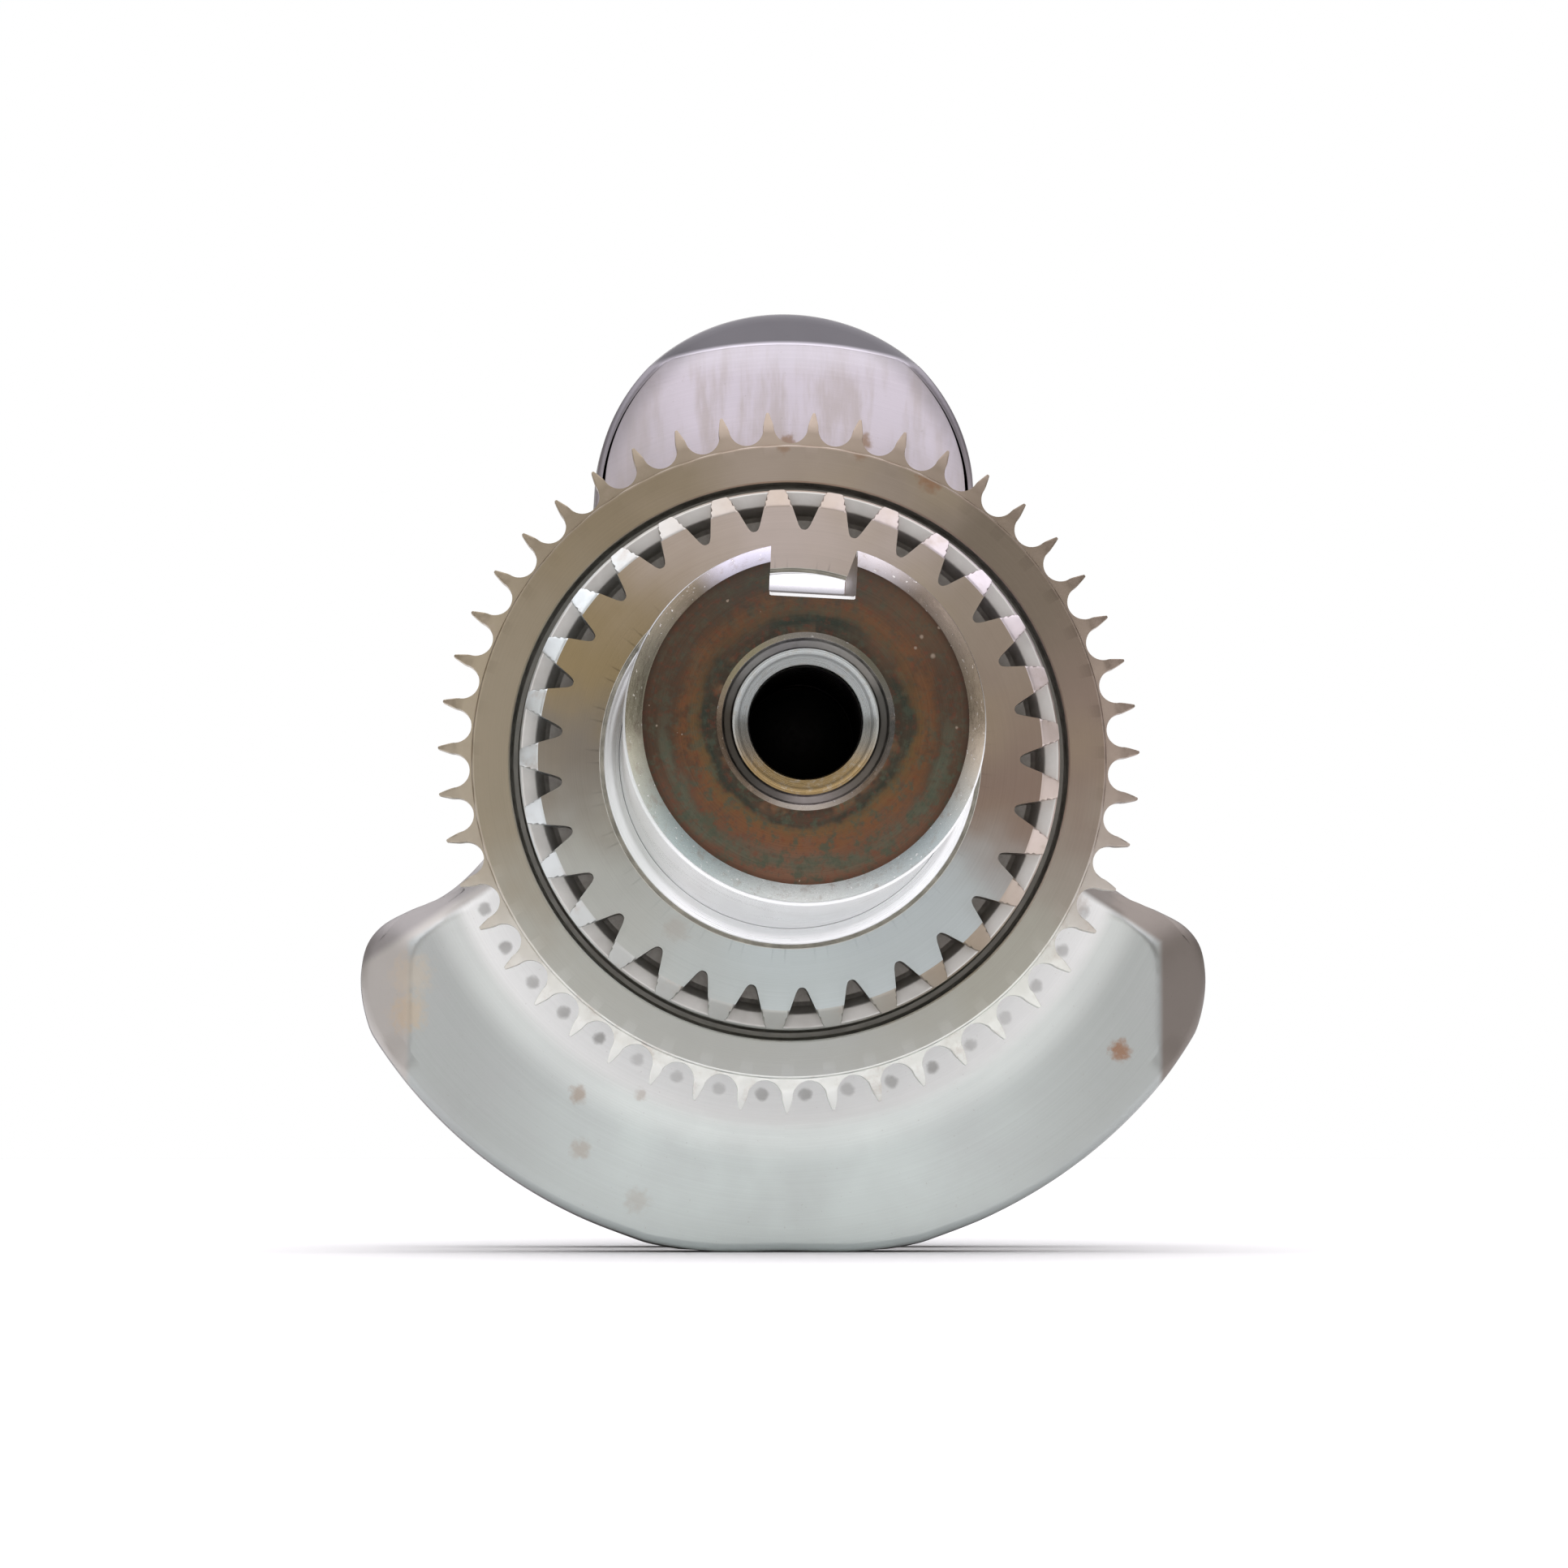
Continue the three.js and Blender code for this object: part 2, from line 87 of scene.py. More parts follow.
def fillet(points, radii, n=5):
    """Rounds the corners of a closed or open polyline. radii: one number, or {index: radius}."""
    pts = [np.array(p, float) for p in points]
    out = []
    for i, p in enumerate(pts):
        r = radii.get(i, 0) if isinstance(radii, dict) else radii
        if i in (0, len(pts) - 1) or r <= 0:
            out.append(p)
            continue
        a, b = pts[i - 1] - p, pts[i + 1] - p
        la, lb = np.linalg.norm(a), np.linalg.norm(b)
        a, b = a / la, b / lb
        ang = math.acos(max(-1, min(1, float(a @ b))))
        if ang > math.pi - 0.05:
            out.append(p)
            continue
        d = min(r / math.tan(ang / 2), la * 0.48, lb * 0.48)
        rr = d * math.tan(ang / 2)
        bis = (a + b) / np.linalg.norm(a + b)
        c = p + bis * (rr / math.sin(ang / 2))
        s, e = p + a * d - c, p + b * d - c
        sweep = math.pi - ang
        for k in range(n + 1):
            t = k / n
            w = (math.sin((1 - t) * sweep) * s + math.sin(t * sweep) * e) / math.sin(sweep)
            out.append(c + w)
    return [tuple(q) for q in out]


def lathe(name, profile, seg=192, cx=0.0, cz=0.0, closed=None, phase=0.0):
    """Body of revolution about a line along Y. profile: (r, y). It is capped at the axis or closed on itself."""
    prof = [tuple(p) for p in profile]
    if closed is None:
        closed = prof[0][0] > 1e-6
    if closed and np.allclose(prof[0], prof[-1]):
        prof = prof[:-1]
    verts, idx = [], []
    for r, y in prof:
        if r < 1e-6:
            idx.append([len(verts)] * seg)
            verts.append((cx, y, cz))
        else:
            base = len(verts)
            for j in range(seg):
                a = TAU * j / seg + phase
                verts.append((cx + r * math.sin(a), y, cz + r * math.cos(a)))
            idx.append(list(range(base, base + seg)))
    faces = []
    m = len(prof)
    for i in range(m if closed else m - 1):
        a, b = idx[i], idx[(i + 1) % m]
        for j in range(seg):
            k = (j + 1) % seg
            f = []
            for q in (a[j], a[k], b[k], b[j]):
                if q not in f:
                    f.append(q)
            if len(f) > 2:
                faces.append(f)
    return new_object(name, verts, faces)


def grid_ring(name, cols, closed=True):
    """cols: array (N, M, 3). N columns round the axis, each a profile of M points, closed or from pole to pole."""
    cols = np.asarray(cols, float)
    n, m, _ = cols.shape
    verts = cols.reshape(-1, 3)
    faces = []
    for j in range(n):
        k = (j + 1) % n
        for i in range(m if closed else m - 1):
            l = (i + 1) % m
            faces.append((j * m + i, k * m + i, k * m + l, j * m + l))
    return new_object(name, verts, faces)


def boolean(o, other, op, keep=False):
    mod = o.modifiers.new("cut", "BOOLEAN")
    mod.operation = op
    mod.object = other
    try:
        mod.solver = "MANIFOLD"
    except TypeError:
        mod.solver = "EXACT"
    dg = bpy.context.evaluated_depsgraph_get()
    dg.update()
    me = bpy.data.meshes.new_from_object(o.evaluated_get(dg))
    o.modifiers.clear()
    if len(me.polygons) < 4:
        raise RuntimeError(f"boolean {op} of {o.name} and {other.name} left nothing")
    old = o.data
    o.data = me
    bpy.data.meshes.remove(old)
    if not keep:
        bpy.data.objects.remove(other, do_unlink=True)
    return o


def clean(o, dist=2e-6):
    bm = bmesh.new()
    bm.from_mesh(o.data)
    bmesh.ops.remove_doubles(bm, verts=bm.verts, dist=dist)
    bmesh.ops.dissolve_degenerate(bm, dist=dist, edges=bm.edges)
    bm.to_mesh(o.data)
    bm.free()


def prism(name, pts, axis="y", lo=0.0, hi=1.0):
    """Straight prism of a convex outline. axis y: pts are (x, z)."""
    n = len(pts)
    verts = [(p[0], lo, p[1]) for p in pts] + [(p[0], hi, p[1]) for p in pts]
    faces = [tuple(range(n)), tuple(range(2 * n - 1, n - 1, -1))]
    for i in range(n):
        k = (i + 1) % n
        faces.append((i, k, n + k, n + i))
    return new_object(name, verts, faces)


def catmull(points, per=12, closed=True):
    p = np.asarray(points, float)
    n = len(p)
    out = []
    for i in range(n if closed else n - 1):
        p0, p1, p2, p3 = p[(i - 1) % n], p[i], p[(i + 1) % n], p[(i + 2) % n]
        # centripetal parametrisation keeps the curve tight where points are close
        t01 = np.linalg.norm(p1 - p0) ** 0.5
        t12 = np.linalg.norm(p2 - p1) ** 0.5
        t23 = np.linalg.norm(p3 - p2) ** 0.5
        m1 = p2 - p1 + t12 * ((p1 - p0) / t01 - (p2 - p0) / (t01 + t12))
        m2 = p2 - p1 + t12 * ((p3 - p2) / t23 - (p3 - p1) / (t12 + t23))
        for k in range(per):
            t = k / per
            out.append(
                (2 * t**3 - 3 * t**2 + 1) * p1
                + (t**3 - 2 * t**2 + t) * m1
                + (-2 * t**3 + 3 * t**2) * p2
                + (t**3 - t**2) * m2
            )
    return np.array(out)


def resample(curve, n):
    c = np.vstack([curve, curve[:1]])
    s = np.r_[0, np.cumsum(np.linalg.norm(np.diff(c, axis=0), axis=1))]
    t = np.linspace(0, s[-1], n, endpoint=False)
    return np.stack([np.interp(t, s, c[:, 0]), np.interp(t, s, c[:, 1])], -1)


def polar(r, deg):
    a = math.radians(deg)
    return (r * math.sin(a), r * math.cos(a))


# ------------------------------------------------------------------ material helpers
class Mat:
    def __init__(self, name):
        self.m = bpy.data.materials.new(name)
        self.m.use_nodes = True
        self.t = self.m.node_tree
        self.n, self.l = self.t.nodes, self.t.links
        self.bsdf = self.n["Principled BSDF"]
        tc = self.n.new("ShaderNodeTexCoord")
        self.obj = tc.outputs["Object"]
        sep = self.n.new("ShaderNodeSeparateXYZ")
        self.l.new(self.obj, sep.inputs[0])
        mm = lambda s: self.math("MULTIPLY", s, 1000.0)
        self.x, self.y = mm(sep.outputs[0]), mm(sep.outputs[1])
        self.z = self.math("SUBTRACT", mm(sep.outputs[2]), ZC)
        self.r = self.math(
            "SQRT",
            self.math("ADD", self.math("MULTIPLY", self.x, self.x), self.math("MULTIPLY", self.z, self.z)),
        )
        self.a = self.math("ARCTAN2", self.x, self.z)
        self.p = self.vec(self.x, self.y, self.z)

    def put(self, sock, v):
        if hasattr(v, "is_linked") or isinstance(v, bpy.types.NodeSocket):
            self.l.new(v, sock)
        else:
            if isinstance(v, tuple) and len(v) == 3 and len(sock.default_value) == 4:
                v = (*v, 1.0)
            sock.default_value = v

    def math(self, op, a, b=0.0, c=None, clamp=False):
        n = self.n.new("ShaderNodeMath")
        n.operation = op
        n.use_clamp = clamp
        self.put(n.inputs[0], a)
        self.put(n.inputs[1], b)
        if c is not None:
            self.put(n.inputs[2], c)
        return n.outputs[0]

    def vec(self, x, y, z):
        n = self.n.new("ShaderNodeCombineXYZ")
        for s, v in zip(n.inputs, (x, y, z)):
            self.put(s, v)
        return n.outputs[0]

    def noise(self, v, scale, detail=3.0, rough=0.55, distortion=0.0):
        n = self.n.new("ShaderNodeTexNoise")
        self.l.new(v, n.inputs["Vector"])
        n.inputs["Scale"].default_value = scale
        n.inputs["Detail"].default_value = detail
        n.inputs["Roughness"].default_value = rough
        n.inputs["Distortion"].default_value = distortion
        return n.outputs[0]

    def remap(self, v, a, b, c=0.0, d=1.0, smooth=True):
        n = self.n.new("ShaderNodeMapRange")
        n.interpolation_type = "SMOOTHSTEP" if smooth else "LINEAR"
        self.put(n.inputs[0], v)
        for s, q in zip(n.inputs[1:5], (a, b, c, d)):
            s.default_value = q
        return n.outputs[0]

    def mix(self, f, a, b, blend="MIX"):
        n = self.n.new("ShaderNodeMix")
        n.data_type = "RGBA"
        n.blend_type = blend
        self.put(n.inputs[0], f)
        self.put(n.inputs[6], a)
        self.put(n.inputs[7], b)
        return n.outputs[2]

    def ramp(self, f, stops, mode="LINEAR"):
        n = self.n.new("ShaderNodeValToRGB")
        n.color_ramp.interpolation = mode
        e = n.color_ramp.elements
        while len(e) < len(stops):
            e.new(0.5)
        for k, (p, c) in zip(e, stops):
            k.position = p
            k.color = (*c, 1.0)
        self.put(n.inputs[0], f)
        return n.outputs[0]

    def spot(self, x, z, radius, wobble=0.5, soft=0.35):
        """1 inside an uneven patch about (x, z), 0 outside."""
        dx, dz = self.math("SUBTRACT", self.x, x), self.math("SUBTRACT", self.z, z)
        d = self.math("SQRT", self.math("ADD", self.math("MULTIPLY", dx, dx), self.math("MULTIPLY", dz, dz)))
        n = self.noise(self.p, 0.9, 3.0)
        d = self.math("ADD", d, self.math("MULTIPLY", self.math("SUBTRACT", n, 0.5), radius * wobble * 3))
        return self.remap(d, radius * soft, radius * 1.25, 1.0, 0.0)

    def bump(self, height, distance, strength=1.0, normal=None):
        n = self.n.new("ShaderNodeBump")
        n.inputs["Strength"].default_value = strength
        n.inputs["Distance"].default_value = distance
        self.put(n.inputs["Height"], height)
        if normal is not None:
            self.l.new(normal, n.inputs["Normal"])
        return n.outputs[0]

    def out(self, color=None, rough=None, normal=None, metallic=1.0, **extra):
        b = self.bsdf
        b.inputs["Metallic"].default_value = metallic
        if color is not None:
            self.put(b.inputs["Base Color"], color)
        if rough is not None:
            self.put(b.inputs["Roughness"], rough)
        if normal is not None:
            self.l.new(normal, b.inputs["Normal"])
        for k, v in extra.items():
            self.put(b.inputs[k], v)
        return self.m

    # machining marks: heights of 0..1
    def rings(self, freq=7.0):
        """Concentric marks on a faced surface."""
        return self.noise(self.vec(self.math("MULTIPLY", self.r, freq), self.math("MULTIPLY", self.a, 0.7), self.math("MULTIPLY", self.y, 0.2)), 1.0, 4.0, 0.65)

    def rounds(self, freq=9.0):
        """Marks round a turned or ground shaft."""
        return self.noise(self.vec(self.math("MULTIPLY", self.a, 1.6), self.math("MULTIPLY", self.y, freq), self.math("MULTIPLY", self.r, 0.3)), 1.0, 4.0, 0.7)


def lin(r, g, b, k=1.0):
    """Colour given as 0..255 display values, returned as linear reflectance times k."""
    return tuple(min(0.95, k * (((c / 255 + 0.055) / 1.055) ** 2.4 if c > 10 else c / 3294)) for c in (r, g, b))


def around(m, stops, wobble=0.10):
    """Colour that changes with the direction about the crank axis, used for temper tints and for painted reflection and
    shade: stops are (degrees clockwise from below, colour).
    """
    n = m.math("MULTIPLY", m.math("SUBTRACT", m.noise(m.p, 0.045, 3.0), 0.5), wobble)
    f = m.math("ADD", m.math("ADD", m.math("MULTIPLY", m.a, 1 / TAU), 0.5), n)
    f = m.math("FRACT", f)
    return m.ramp(f, [(d / 360.0, c) for d, c in stops], "EASE")


def mul_color(m, col, f):
    """col * f, with f a 0..1-ish value socket."""
    n = m.n.new("ShaderNodeVectorMath")
    n.operation = "SCALE"
    m.put(n.inputs[0], col)
    m.put(n.inputs[3], f)
    return n.outputs[0]


def web_face_material():
    m = Mat("web_face_machined_steel")
    cloud = m.noise(m.p, 0.045, 4.0, 0.6)
    fine = m.noise(m.p, 0.6, 5.0, 0.7)
    # painted reflection and shade: the face is lilac towards the top, blue-grey below and darker towards both sides
    up = m.remap(m.z, -10.0, 45.0)
    side = m.remap(m.math("ABSOLUTE", m.x), 20.0, 62.0)
    low = m.mix(side, (0.63, 0.69, 0.675), (0.415, 0.44, 0.43))
    base = m.mix(up, low, (0.70, 0.65, 0.735))
    # stained patches on the lobe, run down in faint streaks, with a painted highlight across the top of the lobe and
    # painted shade towards its left side
    streak = m.noise(m.vec(m.math("MULTIPLY", m.x, 0.20), m.math("MULTIPLY", m.z, 0.035), m.y), 1.0, 4.0, 0.62)
    lobe = m.remap(m.z, 30.0, 50.0)
    base = m.mix(m.math("MULTIPLY", m.remap(streak, 0.42, 0.66, 0.0, 0.62), lobe), base, (0.50, 0.44, 0.43))
    base = m.mix(m.math("MULTIPLY", m.remap(m.z, 76.0, 71.0, 0.5, 0.0), lobe), base, (0.86, 0.83, 0.92))
    base = m.mix(m.math("MULTIPLY", m.remap(m.x, -16.0, -30.0, 0.0, 0.6), lobe), base, (0.46, 0.42, 0.44))
    base = m.mix(m.remap(cloud, 0.40, 0.75, 0.0, 0.22), base, (0.50, 0.49, 0.50))
    brown = m.math("MULTIPLY", m.remap(m.r, 57.0, 68.0, 1.0, 0.0), m.remap(m.z, 30.0, 50.0))
    base = m.mix(m.math("MULTIPLY", brown, m.remap(fine, 0.3, 0.8, 0.03, 0.24)), base, (0.66, 0.565, 0.51))
    # painted light on the lower web round and behind the sprocket, lifting the shade the sprocket casts there; behind
    # the gullets the face is also made less metallic
    painted_light_band = m.math("MULTIPLY", m.remap(m.r, 66.0, 72.0, 1.0, 0.0), m.remap(m.z, 10.0, -20.0))
    here = m.remap(m.y, -1.0, 1.0, 1.0, 0.0)
    painted_light_gullets = m.math("MULTIPLY", m.math("MULTIPLY", m.remap(m.r, 62.5, 66.0, 1.0, 0.0), m.remap(m.z, 10.0, -20.0)), here)
    base = m.mix(m.math("MULTIPLY", painted_light_band, 0.5), base, (0.84, 0.88, 0.86))
    base = m.mix(painted_light_gullets, base, (0.94, 0.95, 0.93))
    # painted shade: a dark dot on the web face behind each sprocket gullet
    beat = m.math("COSINE", m.math("MULTIPLY", m.math("SUBTRACT", m.a, math.radians(0.3)), 47.0))
    wide = m.math("MAXIMUM", m.remap(m.x, 10.0, 26.0, 0.0, 1.25), m.remap(m.x, -24.0, -55.0, 0.0, 1.2))
    dr = m.math("SUBTRACT", m.math("SUBTRACT", m.r, 58.7), wide)
    far = m.math("ADD", m.math("MULTIPLY", dr, dr), m.math("MULTIPLY", m.math("SUBTRACT", 1.0, beat), 3.12))
    far = m.math("ADD", far, m.math("MULTIPLY", m.math("SUBTRACT", m.noise(m.p, 0.7, 3.0), 0.5), 2.0))
    painted_gullet_shade = m.remap(far, 0.3, 2.1, 1.0, 0.0)
    base = m.mix(m.math("MULTIPLY", m.math("MULTIPLY", painted_gullet_shade, m.remap(m.noise(m.p, 0.05, 2.0), 0.35, 0.65, 0.30, 0.62)), m.math("MULTIPLY", here, m.remap(m.z, 10.0, -20.0))), base, (0.16, 0.15, 0.135))
    # tan stains and rust spots, each web with its own
    there = m.remap(m.y, -1.0, 1.0, 0.0, 1.0)
    on = lambda x, z, r, k, web=here: m.math("MULTIPLY", m.spot(x, z, r), m.math("MULTIPLY", web, k))
    base = m.mix(on(60.8, -50.6, 2.1, 0.85), base, (0.30, 0.16, 0.09))
    for x, z, r, k in ((-48.0, -60.0, 1.6, 0.5), (21.0, -74.0, 2.6, 0.3), (-9.0, 68.0, 1.7, 0.5), (40.5, -49.0, 1.3, 0.5)):
        base = m.mix(on(x, z, r, k, there), base, (0.34, 0.22, 0.14))
    for x, z, r, k in ((-37.4, -58.5, 1.7, 0.55), (-36.9, -68.5, 2.0, 0.35), (-26.7, -77.7, 2.4, 0.22), (-26.0, -58.6, 1.2, 0.35), (0.5, 60.3, 1.5, 0.8), (14.2, 60.2, 1.8, 0.8), (52.5, -23.8, 2.6, 0.3)):
        base = m.mix(on(x, z, r, k), base, (0.34, 0.22, 0.14))
    pits = m.remap(m.noise(m.p, 1.7, 2.0), 0.70, 0.78)
    base = m.mix(m.math("MULTIPLY", pits, 0.22), base, (0.35, 0.31, 0.28))
    rings = m.rings(3.4)
    base = mul_color(m, base, m.remap(rings, 0.25, 0.75, 0.96, 1.03, False))
    # unpolished bevel round the top of the lobe
    bevel = m.math("MULTIPLY", m.remap(m.r, 77.6, 78.9), m.remap(m.z, 4.0, 8.0))
    # painted shade along the rounded outline of the lobe, and softer and wider along its upper edges
    dz = m.math("SUBTRACT", m.z, THROW)
    dl = m.math("SQRT", m.math("ADD", m.math("MULTIPLY", m.x, m.x), m.math("MULTIPLY", dz, dz)))
    edge = m.math("MULTIPLY", m.remap(dl, 32.4, 33.6), m.remap(m.z, 18.0, 28.0))
    painted_lobe_edge_shade = m.math("MULTIPLY", m.remap(dl, 28.8, 33.0), m.remap(m.z, 48.0, 66.0))
    base = m.mix(m.math("MULTIPLY", painted_lobe_edge_shade, m.remap(cloud, 0.3, 0.7, 0.45, 0.75)), base, (0.27, 0.25, 0.275))
    base = m.mix(m.math("MULTIPLY", edge, m.remap(m.z, 44.0, 68.0, 0.30, 0.85)), base, (0.19, 0.18, 0.195))
    base = m.mix(bevel, base, (0.108, 0.103, 0.113))
    # painted shade: the bevel darker towards its left end
    base = mul_color(m, base, m.math("SUBTRACT", 1.0, m.math("MULTIPLY", bevel, m.remap(m.x, -12.0, -30.0, 0.0, 0.5))))
    # slanting flats of the two horns, both duller than the face; painted shade makes the right flat darker than the
    # left, and the left flat darker further along its slant
    ax = m.math("ABSOLUTE", m.x)
    p1 = m.math("SUBTRACT", ax, 68.0)
    p2 = m.math("ADD", m.math("MULTIPLY", m.math("SUBTRACT", ax, 55.6), 0.541), m.math("MULTIPLY", m.math("ADD", m.z, 23.1), 0.841))
    horn = m.math("MULTIPLY", m.remap(m.math("MAXIMUM", p1, p2), -0.4, 1.0), m.remap(m.z, -11.0, -19.0))
    horn = m.math("MULTIPLY", horn, m.remap(ax, 46.0, 53.0))
    right = m.remap(m.x, -5.0, 5.0)
    slant = m.remap(p2, 0.6, 2.6, 0.0, 1.0)
    base = m.mix(m.math("MULTIPLY", horn, right), base, (0.235, 0.21, 0.19))
    base = m.mix(m.math("MULTIPLY", horn, m.math("SUBTRACT", 1.0, right)), base, m.mix(slant, (0.47, 0.45, 0.425), (0.30, 0.285, 0.28)))
    base = m.mix(on(-67.6, -37.0, 4.2, 0.40), base, (0.58, 0.48, 0.35))
    base = m.mix(on(-68.2, -44.0, 3.6, 0.55), base, (0.56, 0.44, 0.30))
    rough = m.math("ADD", m.remap(cloud, 0.3, 0.7, 0.29, 0.38), m.math("MULTIPLY", pits, 0.15))
    rough = m.math("ADD", rough, m.math("MULTIPLY", m.math("MAXIMUM", bevel, horn), 0.10))
    h = m.math("ADD", m.math("MULTIPLY", rings, 0.5), m.math("MULTIPLY", fine, 0.5))
    return m.out(base, rough, m.bump(h, 0.00006, 0.5), Metallic=m.math("SUBTRACT", 1.0, m.math("MULTIPLY", painted_light_gullets, 0.95)))


def forged_side_material(name="forged_side_steel", k=1.0):
    m = Mat(name)
    cloud = m.noise(m.p, 0.06, 5.0, 0.6)
    grit = m.noise(m.p, 1.1, 6.0, 0.75)
    base = m.ramp(cloud, [(0.25, (0.19, 0.185, 0.185)), (0.5, (0.29, 0.285, 0.285)), (0.75, (0.38, 0.37, 0.375))])
    base = m.mix(m.remap(grit, 0.55, 0.75, 0.0, 0.35), base, (0.14, 0.11, 0.09))
    if k != 1.0:
        base = mul_color(m, base, k)
    rough = m.remap(grit, 0.2, 0.8, 0.42, 0.66)
    return m.out(base, rough, m.bump(grit, 0.00022, 0.8))


def ground_material(name, tint=(0.70, 0.725, 0.735), low=0.16, high=0.30, scuff=0.25, metallic=1.0):
    m = Mat(name)
    marks = m.rounds(11.0)
    cloud = m.noise(m.p, 0.06, 3.0)
    base = m.mix(m.remap(cloud, 0.35, 0.7, 0.0, scuff), tint, tuple(c * 0.72 for c in tint))
    base = mul_color(m, base, m.remap(marks, 0.2, 0.8, 0.92, 1.06, False))
    rough = m.math("ADD", m.remap(marks, 0.25, 0.75, low, high), m.remap(cloud, 0.4, 0.8, 0.0, 0.08))
    return m.out(base, rough, m.bump(marks, 0.00003, 0.5), metallic=metallic)


def shaft_material():
    """Output shaft with painted light and shade: bright underneath, darker on top and towards its left side, and less
    metallic underneath.
    """
    m = Mat("ground_shaft_steel")
    marks = m.rounds(11.0)
    cloud = m.noise(m.p, 0.06, 3.0)
    top = m.remap(m.z, -12.0, 14.0)
    tint = m.mix(m.remap(m.x, -18.0, -27.0), (0.94, 0.955, 0.96), (0.70, 0.73, 0.71))
    base = m.mix(top, tint, (0.50, 0.505, 0.51))
    base = m.mix(m.remap(cloud, 0.35, 0.7, 0.0, 0.12), base, (0.56, 0.57, 0.575))
    base = mul_color(m, base, m.remap(marks, 0.2, 0.8, 0.92, 1.05, False))
    rough = m.math("ADD", m.remap(marks, 0.25, 0.75, 0.24, 0.36), m.remap(cloud, 0.4, 0.8, 0.0, 0.08))
    return m.out(base, rough, m.bump(marks, 0.00003, 0.5), Metallic=m.remap(top, 0.0, 1.0, 0.45, 0.95, False))


def web_inner_material():
    """Inner faces of the webs, milled and left with faint arcs of the cutter."""
    m = Mat("web_inner_face_milled")
    cloud = m.noise(m.p, 0.05, 4.0, 0.6)
    arcs = m.rings(2.2)
    base = m.ramp(cloud, [(0.3, (0.50, 0.505, 0.50)), (0.55, (0.60, 0.61, 0.605)), (0.75, (0.55, 0.535, 0.52))])
    base = mul_color(m, base, m.remap(arcs, 0.25, 0.75, 0.90, 1.05, False))
    base = m.mix(m.remap(m.noise(m.p, 0.5, 5.0, 0.7), 0.62, 0.80, 0.0, 0.35), base, (0.36, 0.30, 0.25))
    rough = m.math("ADD", m.remap(arcs, 0.3, 0.7, 0.28, 0.38), m.remap(cloud, 0.4, 0.8, 0.0, 0.08))
    return m.out(base, rough, m.bump(arcs, 0.00006, 0.5))


